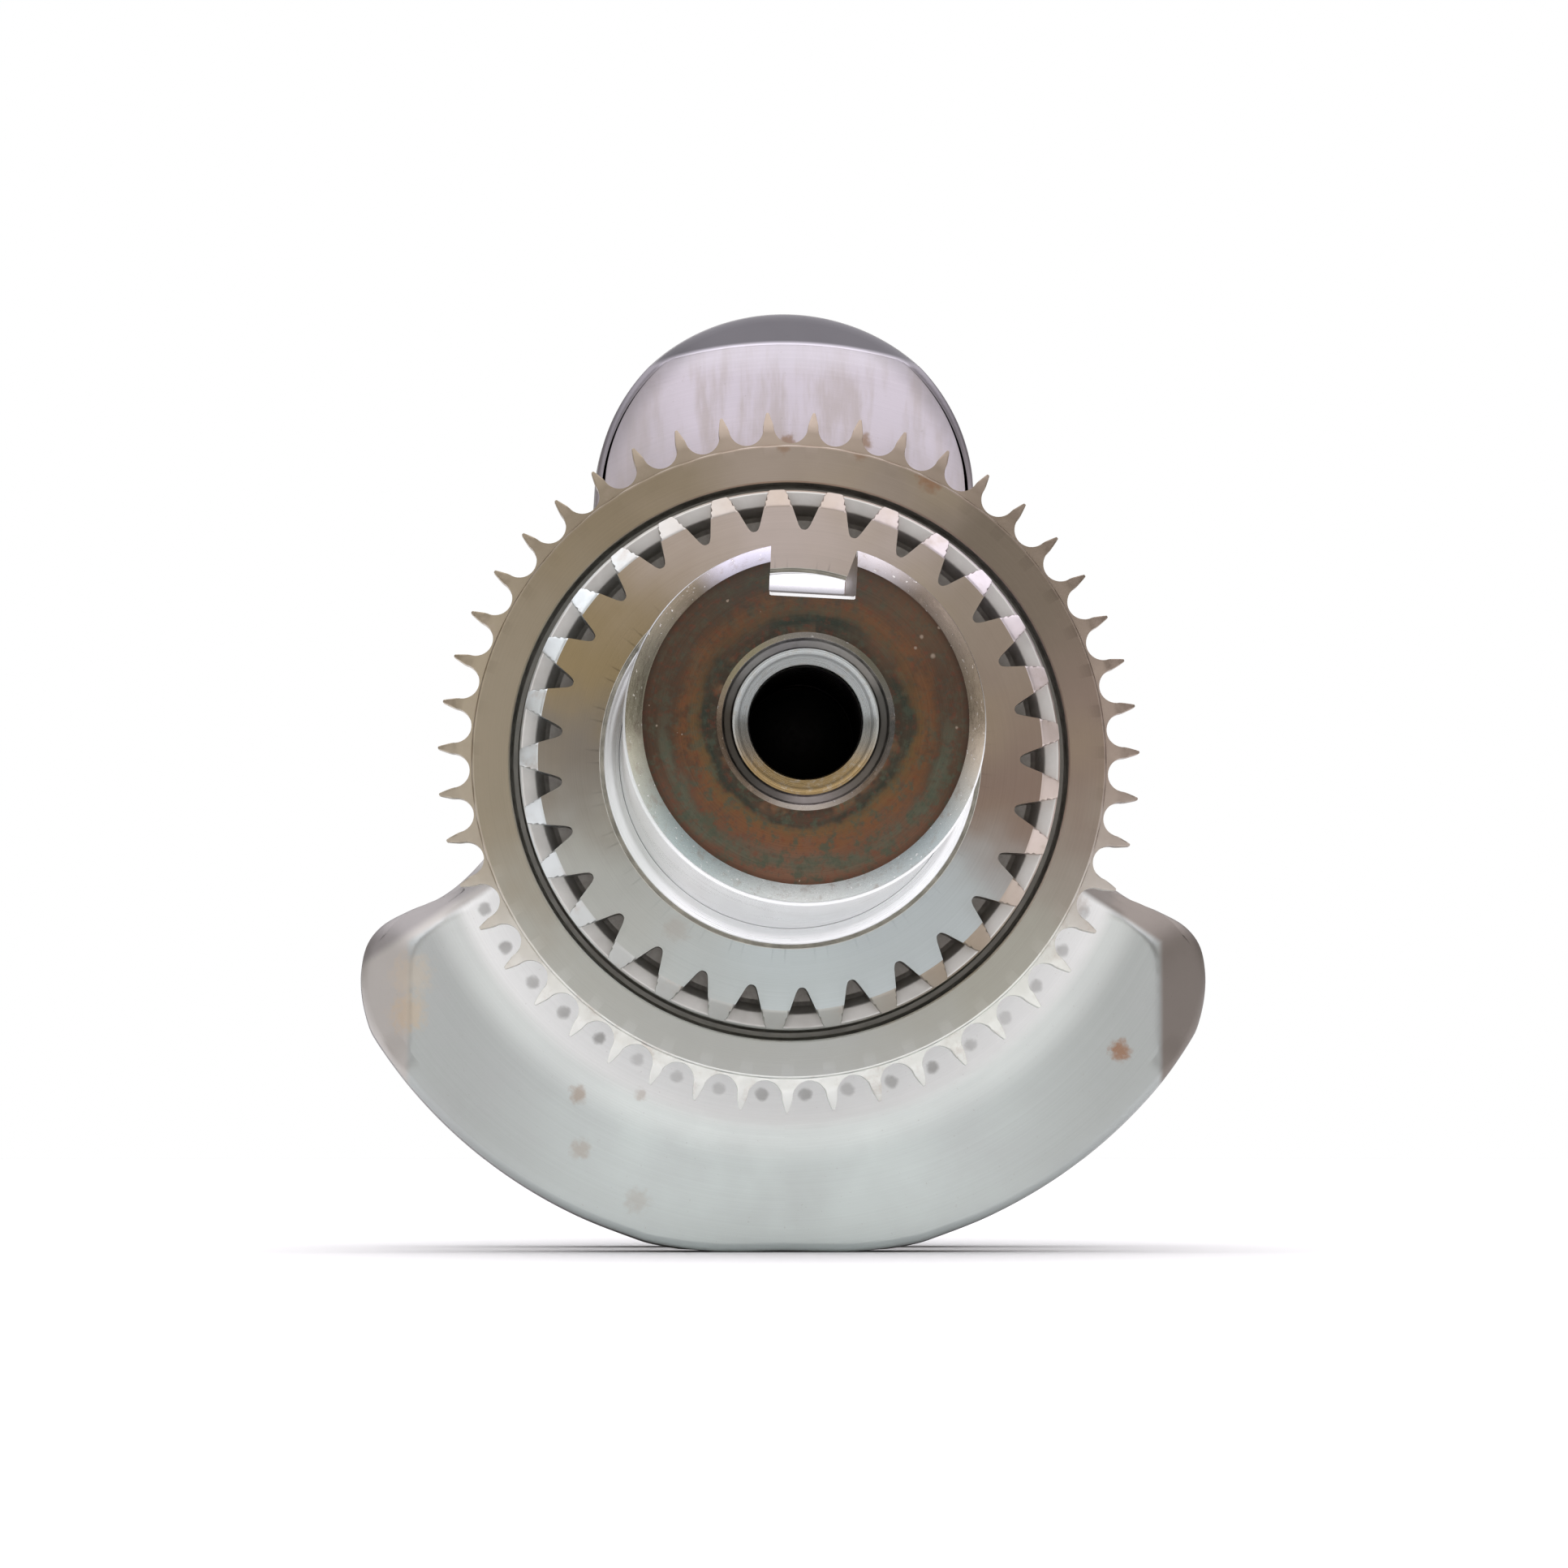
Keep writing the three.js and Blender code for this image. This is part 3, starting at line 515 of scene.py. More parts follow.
def nose_face_material():
    """Heat-tinted end face: brown, with faint red, olive and blue-green temper clouds in rings."""
    m = Mat("output_end_temper_tint")
    base = around(m, [(0, lin(112, 83, 67, 0.99)), (60, lin(92, 71, 58, 0.99)), (90, lin(74, 59, 48, 0.99)), (130, lin(78, 63, 52, 0.99)), (180, lin(72, 67, 61, 0.99)), (222, lin(92, 72, 58, 0.99)), (255, lin(78, 62, 51, 0.99)), (290, lin(79, 65, 53, 0.99)), (325, lin(102, 77, 62, 0.99)), (360, lin(112, 83, 67, 0.99))], 0.12)
    wob = m.math("MULTIPLY", m.math("SUBTRACT", m.noise(m.p, 0.14, 4.0, 0.6), 0.5), 5.0)
    rr = m.math("ADD", m.r, wob)
    near = m.remap(rr, 14.6, 16.4, 0.8, 0.0)
    base = m.mix(near, base, m.mix(m.remap(m.noise(m.p, 0.16, 3.0, 0.6), 0.52, 0.62), lin(58, 53, 46, 0.93), lin(106, 82, 62, 0.93)))
    teal = m.math("MULTIPLY", m.remap(m.math("ABSOLUTE", m.math("SUBTRACT", rr, 16.4)), 0.0, 1.9, 0.85, 0.0), m.remap(m.noise(m.p, 0.09, 3.0), 0.30, 0.55))
    base = m.mix(teal, base, lin(52, 60, 53, 0.84))
    gold = m.math("MULTIPLY", m.remap(m.math("ABSOLUTE", m.math("SUBTRACT", rr, 18.0)), 0.2, 1.5, 0.65, 0.0), m.remap(m.z, 12.0, -6.0, 0.3, 1.0))
    base = m.mix(gold, base, lin(106, 88, 58, 0.92))
    red = m.math("MULTIPLY", m.remap(m.math("ABSOLUTE", m.math("SUBTRACT", rr, 19.6)), 0.2, 2.7, 0.68, 0.0), m.remap(m.z, 16.0, -10.0, 0.7, 1.0))
    base = m.mix(m.math("MULTIPLY", red, m.remap(m.noise(m.p, 0.5, 4.0, 0.65), 0.25, 0.6)), base, lin(122, 84, 56, 0.88))
    olive = m.math("MULTIPLY", m.remap(m.math("ABSOLUTE", m.math("SUBTRACT", rr, 23.2)), 0.2, 1.9, 0.85, 0.0), m.remap(m.z, 6.0, -8.0, 0.15, 1.0))
    base = m.mix(m.math("MULTIPLY", olive, m.remap(m.noise(m.p, 0.35, 3.0, 0.6), 0.3, 0.55)), base, lin(88, 92, 78, 0.92))
    teal2 = m.math("MULTIPLY", m.remap(m.noise(m.p, 0.42, 4.0, 0.65), 0.48, 0.64), m.remap(m.z, 6.0, -14.0, 0.35, 0.85))
    base = m.mix(teal2, base, lin(80, 86, 72, 0.89))
    base = m.mix(m.remap(m.noise(m.p, 0.95, 4.0, 0.6), 0.52, 0.70, 0.0, 0.34), base, lin(120, 66, 52, 0.82))
    base = m.mix(m.remap(m.noise(m.vec(m.x, m.z, m.y), 1.25, 4.0, 0.6), 0.53, 0.70, 0.0, 0.34), base, lin(62, 76, 70, 0.88))
    base = m.mix(m.remap(m.r, 25.0, 26.5, 0.0, 0.55), base, lin(60, 46, 40, 0.79))
    # small bright nicks
    nick = m.remap(m.noise(m.p, 0.7, 1.0), 0.80, 0.82)
    for x, z, r in ((20.4, 10.5, 0.42), (18.6, 13.6, 0.36), (21.4, 15.1, 0.30), (17.6, 11.8, 0.28), (24.2, -1.0, 0.26)):
        nick = m.math("MAXIMUM", nick, m.spot(x, z, r, 0.2))
    base = m.mix(m.math("MULTIPLY", nick, 0.6), base, (0.36, 0.29, 0.23))
    rings = m.rings(5.0)
    base = mul_color(m, base, m.remap(rings, 0.25, 0.75, 0.90, 1.10, False))
    rough = m.remap(m.noise(m.p, 0.9, 4.0), 0.3, 0.7, 0.32, 0.46)
    h = m.math("ADD", m.math("MULTIPLY", rings, 0.7), m.math("MULTIPLY", nick, -0.8))
    return m.out(base, rough, m.bump(h, 0.00005, 0.6))


def chamfer_material(name, stops, nicks=0.5, wide=None):
    """Chamfer of the shaft end or of its hole: bright and brown by turns round the axis."""
    m = Mat(name)
    marks = m.noise(m.vec(m.math("MULTIPLY", m.a, 14.0), m.math("MULTIPLY", m.r, 2.0), m.y), 1.0, 5.0, 0.7)
    base = around(m, stops, 0.03)
    dirt = m.remap(m.noise(m.p, 0.5, 4.0, 0.7), 0.5, 0.72, 0.0, 0.45)
    base = m.mix(dirt, base, (0.22, 0.175, 0.14))
    nick = m.remap(m.noise(m.p, 1.3, 2.0), 0.66, 0.72)
    base = m.mix(m.math("MULTIPLY", nick, nicks), base, (0.80, 0.78, 0.76))
    # painted highlight: darker at the inner radius given by wide and brighter towards the outer one
    if wide:
        base = mul_color(m, base, m.remap(m.r, wide[0], wide[1], 0.68, 1.22, False))
    return m.out(base, m.remap(marks, 0.3, 0.7, 0.20, 0.36), m.bump(m.math("ADD", marks, nick), 0.00006, 0.6))


def gear_face_material(name, spots, stops, k=1.0):
    m = Mat(name)
    cloud = m.noise(m.p, 0.05, 4.0, 0.6)
    base = around(m, [(d, lin(*c, k)) for d, c in stops], 0.14)
    # painted reflection: warm straw-coloured patches over the upper half of the face
    straw = m.remap(m.noise(m.p, 0.035, 2.0), 0.5, 0.7, 0.0, 0.22)
    base = m.mix(m.math("MULTIPLY", straw, m.remap(m.z, -25.0, 5.0)), base, (0.42, 0.34, 0.19))
    rings = m.rings(6.0)
    base = mul_color(m, base, m.remap(rings, 0.25, 0.75, 0.94, 1.05, False))
    for x, z, r, w in spots:
        base = m.mix(m.math("MULTIPLY", m.spot(x, z, r), w), base, (0.26, 0.16, 0.10))
    rough = m.math("ADD", m.remap(rings, 0.3, 0.7, 0.28, 0.36), m.remap(cloud, 0.4, 0.8, 0.0, 0.08))
    return m.out(base, rough, m.bump(rings, 0.00003, 0.4))


def tooth_material(name, stops, k=1.5, painted_root_shade=None):
    """Tooth chamfers and flanks, coloured round the axis with painted reflection and shade. The last argument: (radius,
    radius) between which painted shade darkens the tooth root.
    """
    m = Mat(name)
    n = m.noise(m.p, 0.5, 4.0, 0.65)
    base = around(m, [(d, lin(*c, k)) for d, c in stops], 0.08)
    grime = m.remap(m.noise(m.p, 0.22, 4.0, 0.7), 0.5, 0.75, 0.0, 0.45)
    base = m.mix(grime, base, (0.40, 0.33, 0.27))
    if painted_root_shade:
        base = m.mix(m.remap(m.r, painted_root_shade[0], painted_root_shade[1], 0.88, 0.0), base, (0.11, 0.10, 0.085))
    rough = m.remap(n, 0.3, 0.7, 0.28, 0.44)
    return m.out(base, rough, m.bump(n, 0.00005, 0.5))


def dark_gap_material(name="relief_groove_oiled", k=1.0):
    m = Mat(name)
    n = m.noise(m.p, 0.4, 4.0, 0.65)
    base = m.ramp(n, [(0.3, (0.25 * k, 0.245 * k, 0.22 * k)), (0.7, (0.38 * k, 0.37 * k, 0.335 * k))])
    return m.out(base, m.remap(n, 0.3, 0.7, 0.45, 0.65), m.bump(n, 0.0001, 0.5))


def groove_material():
    """Narrow groove round the cone of the centre hole, with painted shade on the sides and painted light elsewhere."""
    m = Mat("bore_groove_painted_shade")
    n = m.noise(m.p, 0.4, 4.0, 0.65)
    base = around(m, [(0, (0.34, 0.31, 0.30)), (28, (0.13, 0.12, 0.11)), (50, (0.075, 0.07, 0.06)), (95, (0.07, 0.062, 0.05)), (115, (0.13, 0.125, 0.115)), (138, (0.26, 0.26, 0.25)), (165, (0.24, 0.235, 0.235)), (205, (0.29, 0.285, 0.27)), (232, (0.27, 0.26, 0.24)), (255, (0.11, 0.108, 0.098)), (280, (0.085, 0.08, 0.07)), (318, (0.155, 0.14, 0.12)), (360, (0.34, 0.31, 0.30))], 0.04)
    base = mul_color(m, base, m.remap(n, 0.3, 0.7, 0.75, 1.2, False))
    return m.out(base, m.remap(n, 0.3, 0.7, 0.45, 0.65), m.bump(n, 0.0001, 0.5))


def flange_material():
    """Guide flange behind the gear teeth, darker near the tooth roots and paler towards its rim: painted shade and
    light.
    """
    m = Mat("gear_flange_painted_shade")
    n = m.noise(m.p, 0.5, 5.0, 0.65)
    c = m.noise(m.p, 0.09, 3.0)
    base = m.mix(m.remap(n, 0.3, 0.72), (0.30, 0.28, 0.25), (0.45, 0.43, 0.395))
    base = m.mix(m.remap(m.r, 42.6, 46.2, 0.0, 0.8), base, (0.66, 0.65, 0.62))
    base = m.mix(m.remap(c, 0.5, 0.75, 0.0, 0.3), base, (0.21, 0.195, 0.17))
    return m.out(base, m.remap(n, 0.25, 0.75, 0.36, 0.5), m.bump(n, 0.00008, 0.6), metallic=0.45)


def keyway_material():
    """Floor of the keyway: dull edge in front, oily floor that darkens into painted shade at the foot of the climb-out,
    and painted reflection that makes the climb-out bright towards its top.
    """
    m = Mat("milled_keyway_steel")
    marks = m.noise(m.vec(m.math("MULTIPLY", m.x, 1.2), m.math("MULTIPLY", m.y, 2.2), m.z), 1.0, 4.0, 0.65)
    front = m.remap(m.y, NOSE + 0.5, NOSE + 1.1, 1.0, 0.0)
    foot = m.remap(m.y, NOSE + 61.9, NOSE + 62.4)
    top = m.remap(m.y, NOSE + 62.3, NOSE + 64.2)
    base = m.mix(foot, m.mix(m.remap(m.y, NOSE + 55.0, NOSE + 61.0), (0.30, 0.275, 0.25), (0.07, 0.062, 0.058)), m.mix(top, (0.30, 0.295, 0.315), (0.78, 0.765, 0.81)))
    base = m.mix(front, base, (0.52, 0.52, 0.52))
    base = mul_color(m, base, m.remap(marks, 0.2, 0.8, 0.88, 1.06, False))
    return m.out(base, m.remap(marks, 0.3, 0.7, 0.20, 0.34), m.bump(marks, 0.00005, 0.5))


def bore_material():
    m = Mat("tapped_bore_steel")
    n = m.rounds(5.0)
    base = m.ramp(n, [(0.3, (0.10, 0.095, 0.085)), (0.7, (0.22, 0.21, 0.19))])
    # painted shade: the hole turns near black further in
    deep = m.remap(m.y, -181.5, -176.0)
    base = m.mix(deep, base, (0.008, 0.0075, 0.007))
    return m.out(base, m.remap(n, 0.3, 0.7, 0.35, 0.5), m.bump(n, 0.00006, 0.5))


def bore_rim_material():
    """Bright cone of the centre hole: silver above, straw tint on the lower side."""
    m = Mat("centre_cone_bright")
    marks = m.rings(8.0)
    low = m.remap(m.z, 1.0, -8.0)
    base = m.mix(low, (0.345, 0.365, 0.36), (0.215, 0.152, 0.072))
    base = m.mix(m.remap(m.noise(m.p, 0.9, 4.0, 0.7), 0.5, 0.7, 0.0, 0.5), base, (0.30, 0.28, 0.24))
    base = mul_color(m, base, m.remap(marks, 0.2, 0.8, 0.80, 1.1, False))
    # painted highlight: the outer part of the cone brighter, beyond a thin darker ring at r 10.75
    line = m.remap(m.math("ABSOLUTE", m.math("SUBTRACT", m.r, 10.75)), 0.08, 0.34, 0.66, 1.0)
    base = mul_color(m, base, m.math("MULTIPLY", line, m.remap(m.r, 10.7, 11.1, 0.97, 1.28)))
    return m.out(base, m.remap(marks, 0.3, 0.7, 0.2, 0.34), m.bump(marks, 0.00005, 0.6))


def plain_steel(name, dark, light, r0, r1, scale=0.5, bump=0.00008, metallic=1.0):
    m = Mat(name)
    n = m.noise(m.p, scale, 5.0, 0.65)
    c = m.noise(m.p, 0.09, 3.0)
    base = m.mix(m.remap(n, 0.3, 0.72), dark, light)
    base = m.mix(m.remap(c, 0.5, 0.75, 0.0, 0.3), base, tuple(q * 0.6 for q in dark))
    return m.out(base, m.remap(n, 0.25, 0.75, r0, r1), m.bump(n, bump, 0.6), metallic=metallic)


# colours round the axis for the gear and sprocket faces and teeth: their own grey-brown tone, with painted reflection
# and shade making them lighter in some directions and darker and browner in others
GEAR_COLOUR_AND_REFLECTION = [(0, (180, 188, 187)), (50, (170, 172, 166)), (90, (128, 121, 110)), (112, (145, 129, 98)), (180, (188, 176, 169)), (232, (150, 138, 124)), (280, (131, 114, 102)), (320, (173, 180, 180)), (360, (180, 188, 187))]
SPR_COLOUR_AND_REFLECTION = [(0, (171, 173, 169)), (45, (168, 169, 162)), (80, (146, 137, 119)), (110, (148, 138, 120)), (142, (137, 125, 104)), (180, (158, 146, 134)), (222, (118, 108, 95)), (268, (133, 118, 107)), (315, (160, 159, 149)), (360, (171, 173, 169))]
GTOOTH_COLOUR_AND_REFLECTION = [(0, (176, 178, 172)), (40, (182, 184, 180)), (75, (205, 210, 210)), (120, (206, 212, 212)), (180, (168, 156, 146)), (230, (208, 200, 205)), (280, (205, 192, 184)), (318, (150, 138, 122)), (360, (176, 178, 172))]
STOOTH_COLOUR_AND_REFLECTION = [(0, (205, 207, 203)), (40, (196, 197, 192)), (75, (150, 142, 128)), (110, (146, 136, 118)), (142, (128, 118, 102)), (180, (156, 143, 131)), (222, (120, 109, 97)), (268, (140, 127, 117)), (320, (196, 198, 192)), (360, (205, 207, 203))]
M_WEB, M_FORGE = web_face_material(), forged_side_material()
M_KWALL = plain_steel("keyway_wall_steel", (0.16, 0.125, 0.095), (0.24, 0.19, 0.15), 0.36, 0.5)
M_SHAFT = shaft_material()
M_REAR = ground_material("ground_taper_steel", (0.62, 0.635, 0.64), 0.18, 0.30, 0.2)
M_PIN = ground_material("ground_crankpin_steel", (0.74, 0.75, 0.76), 0.08, 0.18, 0.12)
M_NOSE = nose_face_material()
# painted reflection round the nose chamfer: bright below and lilac on top, dark brown on the upper sides
M_CHAMF = chamfer_material("output_end_chamfer_polished", [(0, (0.50, 0.52, 0.50)), (45, (0.28, 0.33, 0.32)), (90, (0.335, 0.32, 0.245)), (140, (0.125, 0.102, 0.072)), (156, (0.42, 0.40, 0.47)), (176, (0.50, 0.48, 0.56)), (202, (0.40, 0.37, 0.385)), (222, (0.123, 0.098, 0.077)), (270, (0.39, 0.33, 0.255)), (315, (0.30, 0.34, 0.34)), (360, (0.50, 0.52, 0.50))], 0.5, (26.3, 28.8))
M_BRIM = chamfer_material("bore_edge_tinted", [(0, (0.24, 0.215, 0.19)), (45, (0.09, 0.07, 0.05)), (90, (0.17, 0.13, 0.095)), (135, (0.195, 0.176, 0.11)), (180, (0.165, 0.153, 0.134)), (225, (0.10, 0.094, 0.068)), (270, (0.098, 0.096, 0.09)), (315, (0.08, 0.06, 0.042)), (360, (0.24, 0.215, 0.19))], 0.2)
M_BORE, M_RIM = bore_material(), bore_rim_material()
M_KEYWAY = keyway_material()
M_THREAD = plain_steel("stud_thread_steel", (0.34, 0.335, 0.33), (0.48, 0.475, 0.47), 0.25, 0.4)
M_GEAR = gear_face_material("timing_gear_face", ((-20.0, -30.0, 2.5, 0.2),), GEAR_COLOUR_AND_REFLECTION, 0.98)
M_GEARTOOTH = tooth_material("timing_gear_teeth", GTOOTH_COLOUR_AND_REFLECTION, 0.98, (41.0, 44.4))
M_SPR = gear_face_material("sprocket_face", ((25.3, 50.8, 3.0, 0.95), (-1.0, 55.8, 1.4, 0.6), (12.8, 54.6, 1.5, 0.6)), SPR_COLOUR_AND_REFLECTION, 1.02)
M_SPRTOOTH = tooth_material("sprocket_teeth", STOOTH_COLOUR_AND_REFLECTION, 1.30)
M_GAP, M_GROOVE, M_CORNER = dark_gap_material(), groove_material(), dark_gap_material("hub_corner_oiled", 1.7)
M_WEBIN = web_inner_material()
M_FLANGE = flange_material()
M_RACE = ground_material("bearing_ring_steel", (0.66, 0.675, 0.69), 0.12, 0.24, 0.15)
M_BALL = plain_steel("bearing_ball_steel", (0.70, 0.71, 0.72), (0.78, 0.79, 0.80), 0.05, 0.10, 0.3, 0.000004)
M_CAGE = plain_steel("cage_polyamide", (0.020, 0.018, 0.016), (0.045, 0.041, 0.036), 0.42, 0.60, 1.2, 0.00012, metallic=0.0)
M_RINGST = ground_material("distance_ring_steel", (0.50, 0.50, 0.49), 0.24, 0.38, 0.3)
M_KEY = plain_steel("key_steel", (0.40, 0.395, 0.38), (0.52, 0.515, 0.50), 0.26, 0.42)
M_WASHER = plain_steel("washer_steel", (0.38, 0.375, 0.36), (0.50, 0.495, 0.48), 0.28, 0.44)
M_NUT = plain_steel("nut_black_steel", (0.070, 0.068, 0.064), (0.125, 0.12, 0.115), 0.34, 0.5, 0.6, 0.0001)


def paint(o, mats, chooser):
    """chooser(centres in mm about the crank axis, normals) -> slot index of each face."""
    me = o.data
    me.materials.clear()
    for m in mats:
        me.materials.append(m)
    n = len(me.polygons)
    c = np.empty(n * 3)
    me.polygons.foreach_get("center", c)
    c = c.reshape(-1, 3) * 1000.0
    c[:, 2] -= ZC
    nv = np.empty(n * 3)
    me.polygons.foreach_get("normal", nv)
    idx = chooser(c, nv.reshape(-1, 3)).astype(np.int32)
    me.polygons.foreach_set("material_index", idx)
    me.update()


# ------------------------------------------------------------------ crankshaft forging
def web_outline():
    half = []
    for a in range(0, 91, 10):
        x, z = polar(LOBE_R, a)
        half.append((x, THROW + z))
    half += [(35.2, 36), (37.5, 20), (42.3, 5), (49.5, -9), (57.6, -18.9), (62.6, -22.8), (68.3, -25.2), (73.2, -27.9), (75.9, -31.2), (77.0, -36), (76.8, -41), (75.4, -46.4)]
    a = 123.0
    while a <= 162.01:
        half.append(polar(CW_R, a))
        a += 6.5
    half += [(24.5, -85.3), (14, -86.9)]
    full = half + [(0.0, -86.9)] + [(-x, z) for x, z in half[1:]][::-1]
    return resample(catmull(full, 16), 640)


OUT = web_outline()


def normals2(c):
    t = np.roll(c, -1, 0) - np.roll(c, 1, 0)
    n = np.stack([-t[:, 1], t[:, 0]], -1)
    n /= np.linalg.norm(n, axis=1)[:, None]
    if ((c * n).sum(1)).mean() < 0:
        n = -n
    return n


NRM = normals2(OUT)


def relief(x, z):
    """How far the outer face of a web falls back from its plane at (x, z)."""
    r = np.hypot(x, z)
    top = np.where(z > 5, np.maximum(0, (r - 78.0) * 0.97), 0)
    ax = np.abs(x)
    p1 = (ax - 68.0) * 0.70
    p2 = (0.541 * (ax - 55.6) + 0.841 * (z + 23.1)) * 0.70
    k = 1.2
    horn = np.logaddexp(p1 / k, p2 / k) * k - 0.0
    # the flats run out gently towards the waist of the web
    t = np.clip((-9.0 - z) / 11.0, 0, 1)
    u = np.clip((ax - 45.0) / 9.0, 0, 1)
    v = np.clip((z + 60.0) / 12.0, 0, 1)
    horn = np.maximum(0, horn) * t * t * (3 - 2 * t) * u * u * (3 - 2 * u) * v * v * (3 - 2 * v)
    return top + horn


def web(side):
    rows = []
    f, g = side * WEB_FACE, side * PIN_HALF
    lens = np.linalg.norm(OUT, axis=1)
    # one row of the mesh follows the start of the bevel at 78 mm
    crease = np.where(OUT[:, 1] > 5, np.minimum(np.maximum(78.0 / lens, 0.80), 1 - 2.1 / lens), 0.95)
    last = np.where(OUT[:, 1] > 5, 1 - 1.75 / lens, 0.957)

    def at(inset=None, s=None):
        if s is not None:
            return OUT * s
        return OUT - NRM * inset

    def ring(p, y):
        return np.stack([p[:, 0], y, p[:, 1]], -1)

    hx = OUT * 0.0
    rows.append(ring(hx, np.full(len(OUT), f)))
    R = 1.6
    for s in np.r_[np.linspace(0.3, 0.78, 6), np.linspace(0.80, 0.925, 13), 0.94, 0.955]:
        w = s / 0.925 * crease if s <= 0.9251 else crease + (s - 0.925) / 0.03 * (last - crease)
        p = at(s=w[:, None])
        rows.append(ring(p, f - side * relief(p[:, 0], p[:, 1])))
    # rounded outer edge, side wall with a faint parting ridge, rounded inner edge
    for k in range(0, 6):
        a = math.pi / 2 * k / 5
        p = at(inset=R * (1 - math.sin(a)))
        q = at(inset=R)
        rl = relief(p[:, 0], p[:, 1])
        rows.append(ring(p, f - side * (rl + R * (1 - math.cos(a)))))
    base = f - side * (relief(OUT[:, 0], OUT[:, 1]) + R)
    flat = np.clip(1 - np.abs(OUT[:, 1] + 86.9) / 0.6, 0, 1)
    for t, o in ((0.30, 0.0), (0.40, 0.05), (0.46, 0.30), (0.50, 0.36), (0.54, 0.30), (0.60, 0.05), (0.70, 0.0)):
        p = OUT + NRM * (o * (1 - flat))[:, None]
        y = base + (g + side * 1.2 - base) * t
        rows.append(ring(p, y))
    for k in range(0, 6):
        a = math.pi / 2 * (1 - k / 5)
        p = at(inset=1.2 * (1 - math.sin(a)))
        rows.append(ring(p, np.full(len(OUT), g + side * 1.2 * (1 - math.cos(a)))))
    for s in (0.9, 0.7, 0.45):
        rows.append(ring(at(s=s), np.full(len(OUT), g)))
    rows.append(ring(hx, np.full(len(OUT), g)))
    return grid_ring("web", np.stack(rows, 1), closed=False)


front_web, rear_web = web(-1), web(1)

pin_prof = fillet([(0, -PIN_HALF - 4), (33.4, -PIN_HALF - 4), (33.4, -PIN_HALF + 1.0), (PIN_R + 0.01, -PIN_HALF + 1.0), (PIN_R, 0), (PIN_R + 0.01, PIN_HALF - 1.0), (33.4, PIN_HALF - 1.0), (33.4, PIN_HALF + 4), (0, PIN_HALF + 4)],
                  {2: 0.7, 3: 2.2, 5: 2.2, 6: 0.7}, 6)
pin = lathe("pin", pin_prof, 160, cz=THROW)

nose_prof = fillet([
    (0, -WEB_FACE + 3), (39.0, -WEB_FACE + 3), (39.0, -WEB_FACE - 0.0), (36.2, -WEB_FACE - 0.05), (35.0, -BRG_IN), (30.0, -BRG_IN), (30.0, GF - 4.0), (PTO_R, GF - 16.0), (PTO_R, NOSE + 7.8),
    (PTO_R - 1.1, NOSE + 7.3), (PTO_R - 1.1, NOSE + 5.5), (PTO_R - 0.35, NOSE + 5.0), (PTO_R - 0.4, NOSE + 2.75), (PTO_R - 3.1, NOSE), (0, NOSE)],
    {3: 1.2, 4: 0.5, 5: 0.4, 8: 0.35, 9: 0.3, 10: 0.3, 11: 0.35, 12: 0.7, 13: 0.45}, 5)
nose = lathe("nose", nose_prof, 256)

rear_prof = fillet([
    (0, WEB_FACE - 3), (39.0, WEB_FACE - 3), (39.0, WEB_FACE), (36.2, WEB_FACE + 0.05), (35.0, BRG_IN), (30.0, BRG_IN), (30.0, BRG_OUT + 4), (28.5, BRG_OUT + 4.8), (28.5, TAPER_0 - 1.4), (27.5, TAPER_0),
    (19.0, TAPER_1), (15.0, TAPER_1 + 1.2), (15.0, TAPER_1 + 4.4), (14.4, TAPER_1 + 5.0), (14.4, REAR - 0.01), (0, REAR - 0.01)],
    {3: 1.2, 4: 0.5, 6: 0.5, 7: 0.8, 8: 0.6, 9: 0.5, 10: 0.8, 11: 0.9, 12: 0.4}, 5)
rear = lathe("rear", rear_prof, 224)


def helix_rod(name, r_core, r_crest, pitch, y0, y1, seg=72, per=8, lead=2.2, chamfer=1.8):
    """Solid rod with a helical thread that runs out towards its far end over the chamfer length."""
    ny = int((y1 - y0) / pitch * per)
    ys = np.linspace(y0, y1, ny + 1)
    verts, faces = [], []
    for y in ys:
        for j in range(seg):
            t = j / seg
            ph = ((y - y0) / pitch - t) % 1.0
            tri = 1 - abs(2 * ph - 1)
            h = min(max((tri - 0.12) / 0.70, 0), 1)
            r = r_core + (r_crest - r_core) * h
            r = min(r, r_crest - chamfer + (y1 - y) * 1.0 if y > y1 - chamfer else r)
            verts.append((r * math.sin(TAU * t), y, r * math.cos(TAU * t)))
    for i in range(ny):
        for j in range(seg):
            k = (j + 1) % seg
            faces.append((i * seg + j, i * seg + k, (i + 1) * seg + k, (i + 1) * seg + j))
    a, b = len(verts), len(verts) + 1
    verts += [(0, y0, 0), (0, y1, 0)]
    for j in range(seg):
        k = (j + 1) % seg
        faces.append((a, k, j))
        faces.append((b, ny * seg + j, ny * seg + k))
    return new_object(name, verts, faces)


stud = helix_rod("stud", 14.55, 15.95, 3.0, TAPER_1 + 4.6, REAR, 96, 10)

crank = front_web
crank.name = "crankshaft_forging"
for part in (rear_web, pin, nose, rear, stud):
    boolean(crank, part, "UNION")

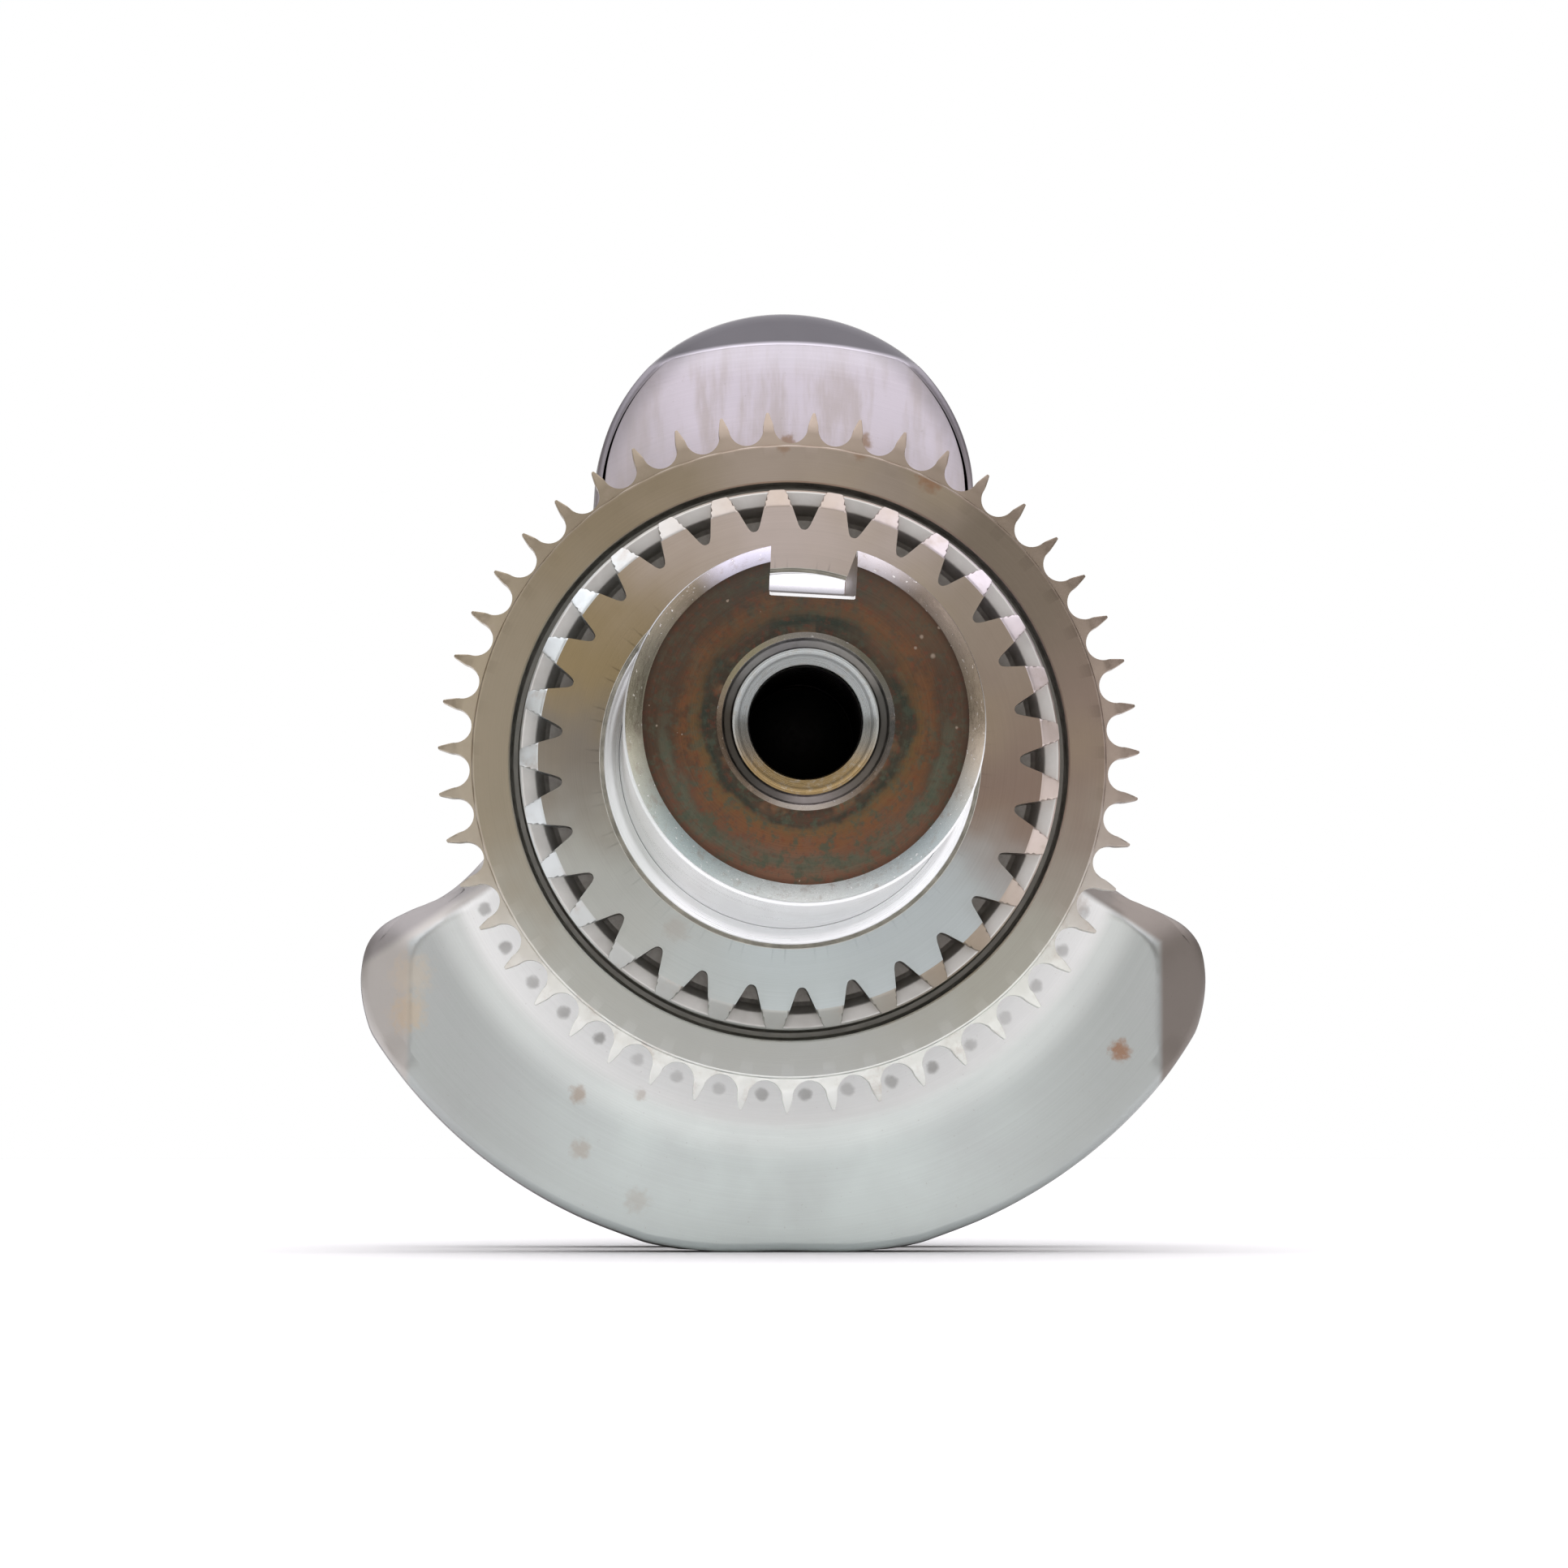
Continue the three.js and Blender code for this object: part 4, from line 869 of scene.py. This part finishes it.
# centre hole with counterbore, cone and thread
bore_prof = [(0, NOSE - 2), (14.35, NOSE - 2), (14.35, NOSE - 0.001), (13.75, NOSE + 0.42), (13.45, NOSE + 0.55), (13.2, NOSE + 2.0), (11.95, NOSE + 2.0), (11.8, NOSE + 0.95), (11.4, NOSE + 0.9), (9.2, NOSE + 2.7), (9.05, NOSE + 3.6), (9.05, NOSE + 53), (0, NOSE + 57)]
boolean(crank, lathe("bore", fillet(bore_prof, {3: 0.15, 4: 0.12, 5: 0.35, 6: 0.35, 7: 0.12, 8: 0.3, 9: 0.5}, 4), 160), "DIFFERENCE")
tap = helix_rod("tap", 8.9, 9.95, 2.5, NOSE + 7.4, NOSE + 47, 64, 8, chamfer=0.0)
boolean(crank, tap, "DIFFERENCE")
centre_prof = [(0, REAR + 1), (6.6, REAR + 1), (6.5, REAR - 0.3), (3.2, REAR - 6), (3.2, REAR - 14), (0, REAR - 16)]
boolean(crank, lathe("centre", centre_prof, 64), "DIFFERENCE")


def keyway_cutter():
    """Slot with a flat floor, broken top edges and a climb out of the shaft at the far end."""
    w, fl, end = 7.0, 20.0, NOSE + 65.6
    side = [(NOSE - 3.0, -0.25), (NOSE - 0.2, -0.25), (NOSE + 0.55, 0.5), (NOSE + 1.2, 0.5), (end - 20, 0.5), (end - 17, 0.75), (end - 13, 1.6), (end - 9, 3.3), (end - 5, 5.2), (end - 3.9, 5.75), (end - 3.0, 6.4), (end - 2.2, 7.2), (end - 1.4, 8.05), (end, 9.7), (end + 1.8, 12.0)]
    side = fillet(side, {2: 0.2, 4: 8.0, 6: 12.0, 8: 2.5, 9: 2.0, 10: 2.5}, 4)
    t = math.radians(3.0)
    cols = []
    for y, up in side:
        f = fl + up
        lo = max(28.1, f + 0.2)
        prof = [(-w, f + 0.35), (-w + 0.12, f + 0.12), (-w + 0.35, f), (w - 0.35, f), (w - 0.12, f + 0.12), (w, f + 0.35)]
        prof += [(w, lo + 0.4), (w + 0.9, lo + 2.1), (w + 0.9, 42.0), (-w - 0.5, 42.0), (-w - 0.5, lo + 2.1), (-w, lo + 0.7)]
        cols.append([(x * math.cos(t) + z * math.sin(t), y, -x * math.sin(t) + z * math.cos(t)) for x, z in prof])
    n = len(cols[0])
    verts = [q for c in cols for q in c]
    faces = []
    for i in range(len(cols) - 1):
        for j in range(n):
            k = (j + 1) % n
            faces.append((i * n + j, i * n + k, (i + 1) * n + k, (i + 1) * n + j))
    faces.append(tuple(range(n)))
    faces.append(tuple(range((len(cols) - 1) * n, len(cols) * n))[::-1])
    return new_object("keyway", verts, faces)


boolean(crank, keyway_cutter(), "DIFFERENCE")


def disc_x(name, r, half, y, z, seg=96, ch=0.0):
    """Flat disc with its axis along X."""
    prof = [(0, -half), (r - ch, -half), (r, -half + ch), (r, half - ch), (r - ch, half), (0, half)] if ch else [(0, -half), (r, -half), (r, half), (0, half)]
    verts, idx = [], []
    for rr, xx in prof:
        if rr < 1e-6:
            idx.append([len(verts)] * seg)
            verts.append((xx, y, z))
        else:
            b = len(verts)
            for j in range(seg):
                a = TAU * j / seg
                verts.append((xx, y + rr * math.sin(a), z + rr * math.cos(a)))
            idx.append(list(range(b, b + seg)))
    faces = []
    for i in range(len(prof) - 1):
        for j in range(seg):
            k = (j + 1) % seg
            f = []
            for q in (idx[i][j], idx[i][k], idx[i + 1][k], idx[i + 1][j]):
                if q not in f:
                    f.append(q)
            if len(f) > 2:
                faces.append(f)
    return new_object(name, verts, faces)


WK_Y, WK_Z = (TAPER_0 + TAPER_1) / 2, 26.4
boolean(crank, disc_x("woodruff_seat", 12.7, 3.1, WK_Y, WK_Z), "DIFFERENCE")
clean(crank)


def crank_slots(c, n):
    x, y, z = c.T
    r = np.hypot(x, z)
    out = np.full(len(c), 2)  # ground shaft
    out[y > 0] = 13
    web_zone = (np.abs(y) > PIN_HALF - 0.6) & (np.abs(y) < WEB_FACE + 0.1)
    far = r > 36.4
    out[web_zone & far] = 1
    face = web_zone & far & (np.abs(n[:, 1]) > 0.35)
    out[face] = 0
    pinr = np.hypot(x, z - THROW)
    out[(np.abs(y) < PIN_HALF + 0.2) & (pinr < 33.6)] = 8
    out[(y < NOSE + 0.02) & (r > 13.9)] = 3
    out[(y < NOSE + 2.95) & (y >= NOSE + 0.02) & (r > 24.5)] = 4
    hole = (y < NOSE + 60) & (r < 14.36) & (y > NOSE + 0.001)
    out[hole] = 6
    out[hole & (r < 10.2) & (y > NOSE + 3.3)] = 5
    out[hole & (r > 11.85) & (r < 13.5)] = 11
    out[(np.abs(y) > PIN_HALF - 0.6) & (np.abs(y) < PIN_HALF + 1.3) & (np.abs(n[:, 1]) > 0.35) & (pinr > 33.3)] = 12
    out[hole & (r >= 13.5)] = 14
    t = math.radians(3.0)
    kx = x * math.cos(t) - z * math.sin(t)
    kz = x * math.sin(t) + z * math.cos(t)
    nx = n[:, 0] * math.cos(t) - n[:, 2] * math.sin(t)
    slot = (y < NOSE + 67.8) & (kz > 18) & (np.abs(kx) < 7.05) & (r < 29.3)
    out[slot & (y > NOSE + 0.02) & (kz < 28.4) & (np.abs(nx) > 0.6)] = 10
    out[slot & (y > NOSE + 0.005) & (np.abs(nx) <= 0.6) & ((kz < 20.9) | (y > NOSE + 40))] = 7
    out[(y > TAPER_1 + 4.0)] = 9
    return out


paint(crank, [M_WEB, M_FORGE, M_SHAFT, M_NOSE, M_CHAMF, M_BORE, M_RIM, M_KEYWAY, M_PIN, M_THREAD, M_KWALL, M_GROOVE, M_WEBIN, M_REAR, M_BRIM], crank_slots)
finish_shading(crank, 32)
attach(crank, BODY)
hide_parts("crankshaft")

# ------------------------------------------------------------------ keys
wkey = disc_x("woodruff_key_fine", 12.45, 3.0, WK_Y, WK_Z, 128, 0.35)
cut = prism("wcut", [(-9, WK_Z), (9, WK_Z), (9, WK_Z + 20), (-9, WK_Z + 20)], lo=WK_Y - 20, hi=WK_Y + 20)
boolean(wkey, cut, "DIFFERENCE")
clean(wkey)
wkey.data.materials.clear()
wkey.data.materials.append(M_KEY)
finish_shading(wkey, 25)
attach(wkey, BODY)
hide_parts("woodruff_key")

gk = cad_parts["gear_key"]
gk.data.materials.clear()
gk.data.materials.append(M_KEY)


# ------------------------------------------------------------------ timing gear
def gear_outline(n=29, phase=3.4):
    """Tapered teeth: half width of the gap along the arc at each radius, from the root to the tip."""
    side = [(40.3, 0.0), (40.3, 0.22), (40.38, 0.45), (40.6, 0.70), (41.2, 1.05), (42.0, 1.38), (43.0, 1.78), (44.3, 2.30), (45.5, 2.77), (46.6, 3.22), (47.15, 3.50), (47.42, 3.70), (47.52, 3.95), (47.52, 4.5)]
    step = TAU / n
    out = []
    for i in range(n):
        gap = i * step + math.radians(phase)
        left = [(r, gap - w / r) for r, w in side[::-1]]
        right = [(r, gap + w / r) for r, w in side[1:]]
        out += left + right
    return np.array([(r * math.sin(a), r * math.cos(a)) for r, a in out]), 47.52, 40.3


def toothed(name, outline, inner, front, layers, back):
    """A toothed disc: inner (r, y) points up to the front rim, layers [(y, clip radius)] over the teeth, back (r, y) points."""
    ang = np.arctan2(outline[:, 0], outline[:, 1])
    R = np.hypot(outline[:, 0], outline[:, 1])
    u = np.stack([np.sin(ang), np.cos(ang)], -1)
    rows = []
    for r, y in inner + front:
        rows.append(np.stack([u[:, 0] * r, np.full(len(u), y), u[:, 1] * r], -1))
    for y, rc in layers:
        rr = np.minimum(R, rc)
        rows.append(np.stack([u[:, 0] * rr, np.full(len(u), y), u[:, 1] * rr], -1))
    for r, y in back:
        rows.append(np.stack([u[:, 0] * r, np.full(len(u), y), u[:, 1] * r], -1))
    return grid_ring(name, np.stack(rows, 1))


go, g_ra, g_rf = gear_outline()
ch0 = 44.3  # where the front chamfer of the teeth starts
g_layers = []
for k in range(0, 10):
    t = k / 9
    y = GF + 2.6 * t
    g_layers.append((y, ch0 + (g_ra + 0.35 - ch0) * (t**0.85)))
g_layers += [(GB - 1.8, g_ra + 1), (GB - 1.0, g_ra - 0.55), (GB, g_ra - 1.6)]
gear = toothed(
    "timing_gear_fine", go,
    [(30.3, GB), (30.3, GF + 0.8), (30.06, GF + 0.6)],
    [(30.06, GF - 3.4), (30.14, GF - 3.5), (30.3, GF - 3.3), (30.5, GF - 2.6), (30.8, GF - 1.9), (31.2, GF - 1.3), (31.7, GF - 0.85), (32.2, GF - 0.62), (32.5, GF - 0.58), (32.68, GF - 0.45), (32.75, GF - 0.1), (32.78, GF + 0.45), (33.0, GF + 0.62), (33.3, GF + 0.45), (33.4, GF + 0.05), (33.55, GF), (36.5, GF), (39.5, GF)],
    g_layers,
    [(39.0, GB), (35.0, GB)],
)


flange_prof = fillet([(34.0, GF + 7.6), (42.6, GF + 7.6), (43.4, GF + 7.2), (44.8, GF + 3.8), (47.2, GF + 3.35), (47.6, GF + 4.0), (47.6, GB - 0.5), (47.1, GB), (34.0, GB)], {1: 0.5, 2: 0.5, 3: 0.5, 4: 0.3, 5: 0.2, 6: 0.2, 7: 0.2}, 4)
boolean(gear, lathe("gear_flange", flange_prof, 232, closed=True), "UNION")
clean(gear)


def gear_slots(c, n):
    r = np.hypot(c[:, 0], c[:, 2])
    out = np.ones(len(c))
    out[(n[:, 1] < -0.97) & (c[:, 1] < GF + 0.1)] = 0
    out[(r < 33.6)] = 0
    out[(n[:, 1] > 0.9)] = 0
    out[(r < 32.8) & (c[:, 1] < GF + 0.5)] = 2
    out[(r > 32.7) & (r < 33.5) & (c[:, 1] > GF + 0.02) & (c[:, 1] < GF + 0.7)] = 3
    out[(c[:, 1] > GF + 3.3) & (n[:, 1] < -0.3) & (r > 39.0) & (r < 47.3)] = 4
    return out


paint(gear, [M_GEAR, M_GEARTOOTH, M_SHAFT, M_CORNER, M_FLANGE], gear_slots)
finish_shading(gear, 28)
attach(gear, BODY)
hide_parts("timing_gear")


# ------------------------------------------------------------------ chain sprocket
def sprocket_outline(n=47, pitch=8.0, phase=0.3):
    rp = pitch / 2 / math.sin(math.pi / n)
    ra = pitch * (0.6 + 1 / math.tan(math.pi / n)) / 2
    rc, ri = rp - 0.35, 3.05
    step = TAU / n
    out = []
    for i in range(n):
        gap = i * step + math.radians(phase)
        cx, cz = rc * math.sin(gap), rc * math.cos(gap)
        ux, uz = math.sin(gap), math.cos(gap)
        tx, tz = uz, -ux
        half = []
        for k in range(10):
            a = math.radians(88) * k / 9
            half.append((ri * math.sin(a), -ri * math.cos(a)))
        half += [(3.16, 0.40), (3.32, 0.85), (3.48, 1.30), (3.63, 1.72), (3.77, 2.08), (3.90, 2.38)]
        pts = [(-t, r) for t, r in half[::-1]] + half[1:]
        for t, r in pts:
            out.append((cx + t * tx + r * ux, cz + t * tz + r * uz))
        a = gap + step / 2
        out.append((ra * math.sin(a - 0.0020), ra * math.cos(a - 0.0020)))
        out.append((ra * math.sin(a + 0.0020), ra * math.cos(a + 0.0020)))
    return np.array(out), ra, rp


so, s_ra, s_rp = sprocket_outline()
TF, TB = SF + 1.4, SB - 1.4  # front and back of the toothed rim
s_layers = [(TF - 0.02, 56.2), (TF, 56.6), (TF, 57.6), (TF, 58.3)]
for k in range(1, 11):
    t = k / 10
    s_layers.append((TF + 1.1 * t**1.3, 58.3 + (s_ra + 0.3 - 58.3) * t))
for k in range(0, 11):
    t = k / 10
    s_layers.append((TB - 1.1 * (1 - t) ** 1.3, s_ra + 0.3 - (s_ra + 0.3 - 58.3) * t))
s_layers += [(TB, 57.6), (TB, 56.6), (TB + 0.02, 56.2)]
spr = toothed(
    "chain_sprocket_fine", so,
    [(30.3, SB), (30.3, SF + 3.0)],
    [(40.0, SF + 3.0), (46.6, SF + 3.0), (47.0, SF + 3.3), (48.0, SF + 4.6), (48.8, SF + 4.6), (49.2, SF + 4.3), (49.3, SF + 3.8), (49.3, SF + 0.45), (49.42, SF + 0.15), (49.7, SF), (53.0, SF), (55.7, SF), (55.95, SF + 0.08), (56.1, SF + 0.35)],
    s_layers,
    [(56.1, SB - 0.35), (55.7, SB), (52.0, SB), (40.0, SB)],
)


def spr_slots(c, n):
    r = np.hypot(c[:, 0], c[:, 2])
    out = np.ones(len(c))
    out[(np.abs(n[:, 1]) > 0.97) & (r < 56.0)] = 0
    out[(r < 49.4) & (c[:, 1] < SF + 5) & (c[:, 1] > SF + 0.3)] = 2
    return out


paint(spr, [M_SPR, M_SPRTOOTH, M_GAP], spr_slots)
finish_shading(spr, 28)
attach(spr, BODY)
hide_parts("chain_sprocket")


# ------------------------------------------------------------------ turned rings
def single(o, mat, body, node, angle=30):
    o.data.materials.clear()
    o.data.materials.append(mat)
    finish_shading(o, angle)
    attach(o, body)
    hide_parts(node)
    return o


def closed_profile(points, r):
    """Rounds every corner of a closed loop."""
    pts = list(points)
    ext = [pts[-1]] + pts + [pts[0]]
    out = fillet(ext, {i: r for i in range(1, len(ext) - 1)}, 4)
    return out[1:-1]


single(lathe("front_distance_ring_fine", closed_profile([(30.35, SB + 0.3), (36, SB + 0.3), (36, -BRG_OUT - 0.3), (30.35, -BRG_OUT - 0.3)], 0.2), 128, closed=True), M_RINGST, BODY, "front_distance_ring")
single(lathe("rear_distance_ring_fine", closed_profile([(30.35, BRG_OUT + 0.3), (36, BRG_OUT + 0.3), (36, BRG_OUT + 3.4), (30.35, BRG_OUT + 3.4)], 0.5), 192, closed=True), M_RINGST, BODY, "rear_distance_ring")

BALL_D, PCD, BALLS = 15.875, 85.0, 10
GR = BALL_D / 2 + 0.12


def race(outer, yc):
    w = 10.8
    pr = PCD / 2
    face = 47.3 if outer else 37.7
    s = 1 if outer else -1
    op = math.acos(abs(face - pr) / GR)
    groove = []
    for k in range(25):
        a = -op + 2 * op * k / 24
        groove.append((pr + s * GR * math.cos(a), yc + GR * math.sin(a)))
    if outer:
        body = fillet([(face + 0.6, yc - w + 1.1), (face + 0.6, yc - w), (55 - 0.0, yc - w), (55.0, yc + w), (face + 0.6, yc + w), (face + 0.6, yc + w - 1.1)], {1: 0.35, 2: 1.6, 3: 1.6, 4: 0.35}, 6)
        loop = body + [(face, yc + w - 1.9)] + groove[::-1] + [(face, yc - w + 1.9)]
    else:
        body = fillet([(face - 0.6, yc - w + 1.1), (face - 0.6, yc - w), (30.35, yc - w), (30.35, yc + w), (face - 0.6, yc + w), (face - 0.6, yc + w - 1.1)], {1: 0.35, 2: 1.2, 3: 1.2, 4: 0.35}, 6)
        loop = body + [(face, yc + w - 1.9)] + groove[::-1] + [(face, yc - w + 1.9)]
    return loop


def ball_mesh(name, x, y, z):
    bm = bmesh.new()
    bmesh.ops.create_icosphere(bm, subdivisions=4, radius=BALL_D / 2000)
    bmesh.ops.translate(bm, verts=bm.verts, vec=Vector((x / 1000, y / 1000, (z + ZC) / 1000)))
    me = bpy.data.meshes.new(name)
    bm.to_mesh(me)
    bm.free()
    o = bpy.data.objects.new(name, me)
    bpy.context.scene.collection.objects.link(o)
    me.shade_smooth()
    me.materials.append(M_BALL)
    return o


def bearing(prefix, yc, d):
    single(lathe(f"{prefix}_outer_race_fine", race(True, yc), 224, closed=True), M_RACE, f"{prefix}_outer_ring", f"{prefix}_bearing_outer_ring")
    single(lathe(f"{prefix}_inner_race_fine", race(False, yc), 192, closed=True), M_RACE, BODY, f"{prefix}_bearing_inner_ring")
    ys = sorted((yc - 10 * d, yc + 5.2 * d))
    cage = lathe(f"{prefix}_cage_fine", closed_profile([(39.4, ys[0]), (45.6, ys[0]), (45.6, ys[1]), (39.4, ys[1])], 0.7), 240, closed=True)
    for i in range(BALLS):
        a = (i + 0.5) * 360 / BALLS
        x, z = polar(PCD / 2, a)
        bm = bmesh.new()
        bmesh.ops.create_icosphere(bm, subdivisions=4, radius=(BALL_D / 2 + 0.35) / 1000)
        bmesh.ops.translate(bm, verts=bm.verts, vec=Vector((x / 1000, yc / 1000, (z + ZC) / 1000)))
        me = bpy.data.meshes.new("pocket")
        bm.to_mesh(me)
        bm.free()
        po = bpy.data.objects.new("pocket", me)
        bpy.context.scene.collection.objects.link(po)
        boolean(cage, po, "DIFFERENCE")
        b = ball_mesh(f"{prefix}_ball_{i + 1:02d}_fine", x, yc, z)
        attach(b, f"{prefix}_ball_set")
        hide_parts(f"{prefix}_bearing_ball_{i + 1:02d}")
    clean(cage)
    single(cage, M_CAGE, f"{prefix}_ball_set", f"{prefix}_bearing_cage", 35)


bearing("front", -54.5, -1)
bearing("rear", 54.5, 1)

# ------------------------------------------------------------------ flywheel washer and nut
WY = TAPER_1 + 6
single(lathe("flywheel_washer_fine", closed_profile([(16.4, WY), (25, WY), (25, WY + 3), (16.4, WY + 3)], 0.45), 160, closed=True), M_WASHER, BODY, "flywheel_washer")


def nut():
    y0, y1 = WY + 3.3, WY + 19.3
    seg = 288
    cols = []
    for j in range(seg):
        a = TAU * j / seg
        rel = ((math.degrees(a) + 30) % 60) - 30
        rh = 23.9 / math.cos(math.radians(rel))  # flats at 0, 60, ...
        corner = min(rh, 27.35)
        prof = [(16.35, y0 + 1.2), (17.8, y0 + 0.02), (22.0, y0)]
        for k in range(5):
            t = k / 4
            rc = 23.4 + 4.6 * t
            prof.append((min(corner, rc), y0 + 0.001 + 2.3 * t))
        for k in range(1, 5):
            prof.append((corner, y0 + 2.3 + (y1 - y0 - 4.6) * k / 5))
        for k in range(5):
            t = 1 - k / 4
            rc = 23.4 + 4.6 * t
            prof.append((min(corner, rc), y1 - 0.001 - 2.3 * t))
        prof += [(22.0, y1), (17.8, y1 - 0.02), (16.35, y1 - 1.2)]
        cols.append([(r * math.sin(a), y, r * math.cos(a)) for r, y in prof])
    return grid_ring("flywheel_nut_fine", cols)


single(nut(), M_NUT, BODY, "flywheel_nut", 24)

# ------------------------------------------------------------------ stage, light and camera
floor_me = bpy.data.meshes.new("floor")
s = 14.0
floor_me.from_pydata([(-s, -s, 0), (s, -s, 0), (s, s, 0), (-s, s, 0)], [], [(0, 1, 2, 3)])
floor = bpy.data.objects.new("floor", floor_me)
bpy.context.scene.collection.objects.link(floor)
floor.location.z = -0.0002
fm = bpy.data.materials.new("pale_floor")
fm.use_nodes = True
fb = fm.node_tree.nodes["Principled BSDF"]
fb.inputs["Roughness"].default_value = 0.9
fb.inputs["Specular IOR Level"].default_value = 0.2
nn = fm.node_tree.nodes.new("ShaderNodeTexNoise")
nn.inputs["Scale"].default_value = 3.0
rr = fm.node_tree.nodes.new("ShaderNodeValToRGB")
rr.color_ramp.elements[0].color = (0.86, 0.86, 0.86, 1)
rr.color_ramp.elements[1].color = (0.90, 0.90, 0.90, 1)
fm.node_tree.links.new(nn.outputs[0], rr.inputs[0])
fm.node_tree.links.new(rr.outputs[0], fb.inputs["Base Color"])
floor_me.materials.append(fm)

world = bpy.data.worlds.new("studio")
bpy.context.scene.world = world
world.use_nodes = True
wt = world.node_tree
bg = wt.nodes["Background"]
tc = wt.nodes.new("ShaderNodeTexCoord")
sep = wt.nodes.new("ShaderNodeSeparateXYZ")
wt.links.new(tc.outputs["Generated"], sep.inputs[0])
ramp = wt.nodes.new("ShaderNodeValToRGB")
# from straight down to straight up: pale, warm dim band at eye level, pale again overhead
e = ramp.color_ramp.elements
stops = [(0.0, (0.9, 0.9, 0.92)), (0.47, (0.72, 0.72, 0.72)), (0.52, (0.36, 0.33, 0.30)), (0.66, (0.34, 0.31, 0.29)), (0.80, (0.85, 0.82, 0.90)), (1.0, (1.0, 0.98, 1.0))]
while len(e) < len(stops):
    e.new(0.5)
for k, (p, c) in zip(e, stops):
    k.position = p
    k.color = (*c, 1)
mp = wt.nodes.new("ShaderNodeMapRange")
mp.inputs[1].default_value, mp.inputs[2].default_value = -1.0, 1.0
wt.links.new(sep.outputs[2], mp.inputs[0])
wt.links.new(mp.outputs[0], ramp.inputs[0])
lp = wt.nodes.new("ShaderNodeLightPath")
mix = wt.nodes.new("ShaderNodeMix")
mix.data_type = "RGBA"
wt.links.new(lp.outputs["Is Camera Ray"], mix.inputs[0])
wt.links.new(ramp.outputs[0], mix.inputs[6])
mix.inputs[7].default_value = (1.0, 1.0, 1.0, 1.0)
wt.links.new(mix.outputs[2], bg.inputs[0])
bg.inputs[1].default_value = 1.0


def area(name, loc, aim, size, power, color=(1, 1, 1), size_y=None):
    d = bpy.data.lights.new(name, "AREA")
    d.energy = power
    d.size = size
    if size_y:
        d.shape = "RECTANGLE"
        d.size_y = size_y
    d.color = color
    o = bpy.data.objects.new(name, d)
    o.location = loc
    o.rotation_mode = "QUATERNION"
    o.rotation_quaternion = (Vector(aim) - Vector(loc)).to_track_quat("-Z", "Y")
    bpy.context.scene.collection.objects.link(o)
    return o


# one wide overhead softbox, as even over the whole floor as an overcast sky, and two weak fills
sun_d = bpy.data.lights.new("overhead_soft", "SUN")
sun_d.energy = 1.9
sun_d.angle = math.radians(110)
sun_d.color = (1.0, 0.99, 1.0)
sun = bpy.data.objects.new("overhead_soft", sun_d)
sun.location = (0, 0, 3)
bpy.context.scene.collection.objects.link(sun)
area("front_fill", (-0.1, -2.7, 0.75), (0, 0, 0.05), 2.2, 7, (1.0, 1.0, 1.0))
area("left_soft", (-1.5, -0.9, 0.9), (0, -0.05, 0.08), 1.1, 2.5, (0.97, 0.985, 1.0))
area("right_soft", (1.6, -0.4, 0.8), (0, 0, 0.08), 0.9, 1.0, (1.0, 0.96, 0.92))

cam_d = bpy.data.cameras.new("camera")
cam = bpy.data.objects.new("camera", cam_d)
bpy.context.scene.collection.objects.link(cam)
cam_d.sensor_width = 36.0
cam_d.lens = 152.58
cam.location = (-0.0285768, -1.2466492, 0.0178743)
yaw, pitch = math.radians(1.3507), math.radians(3.1714)
fwd = Vector((math.sin(yaw) * math.cos(pitch), math.cos(yaw) * math.cos(pitch), math.sin(pitch)))
cam.rotation_mode = "QUATERNION"
cam.rotation_quaternion = fwd.to_track_quat("-Z", "Y")
cam_d.clip_start, cam_d.clip_end = 0.01, 60
bpy.context.scene.camera = cam
bpy.context.scene.view_settings.view_transform = "Standard"
bpy.context.scene.view_settings.look = "None"
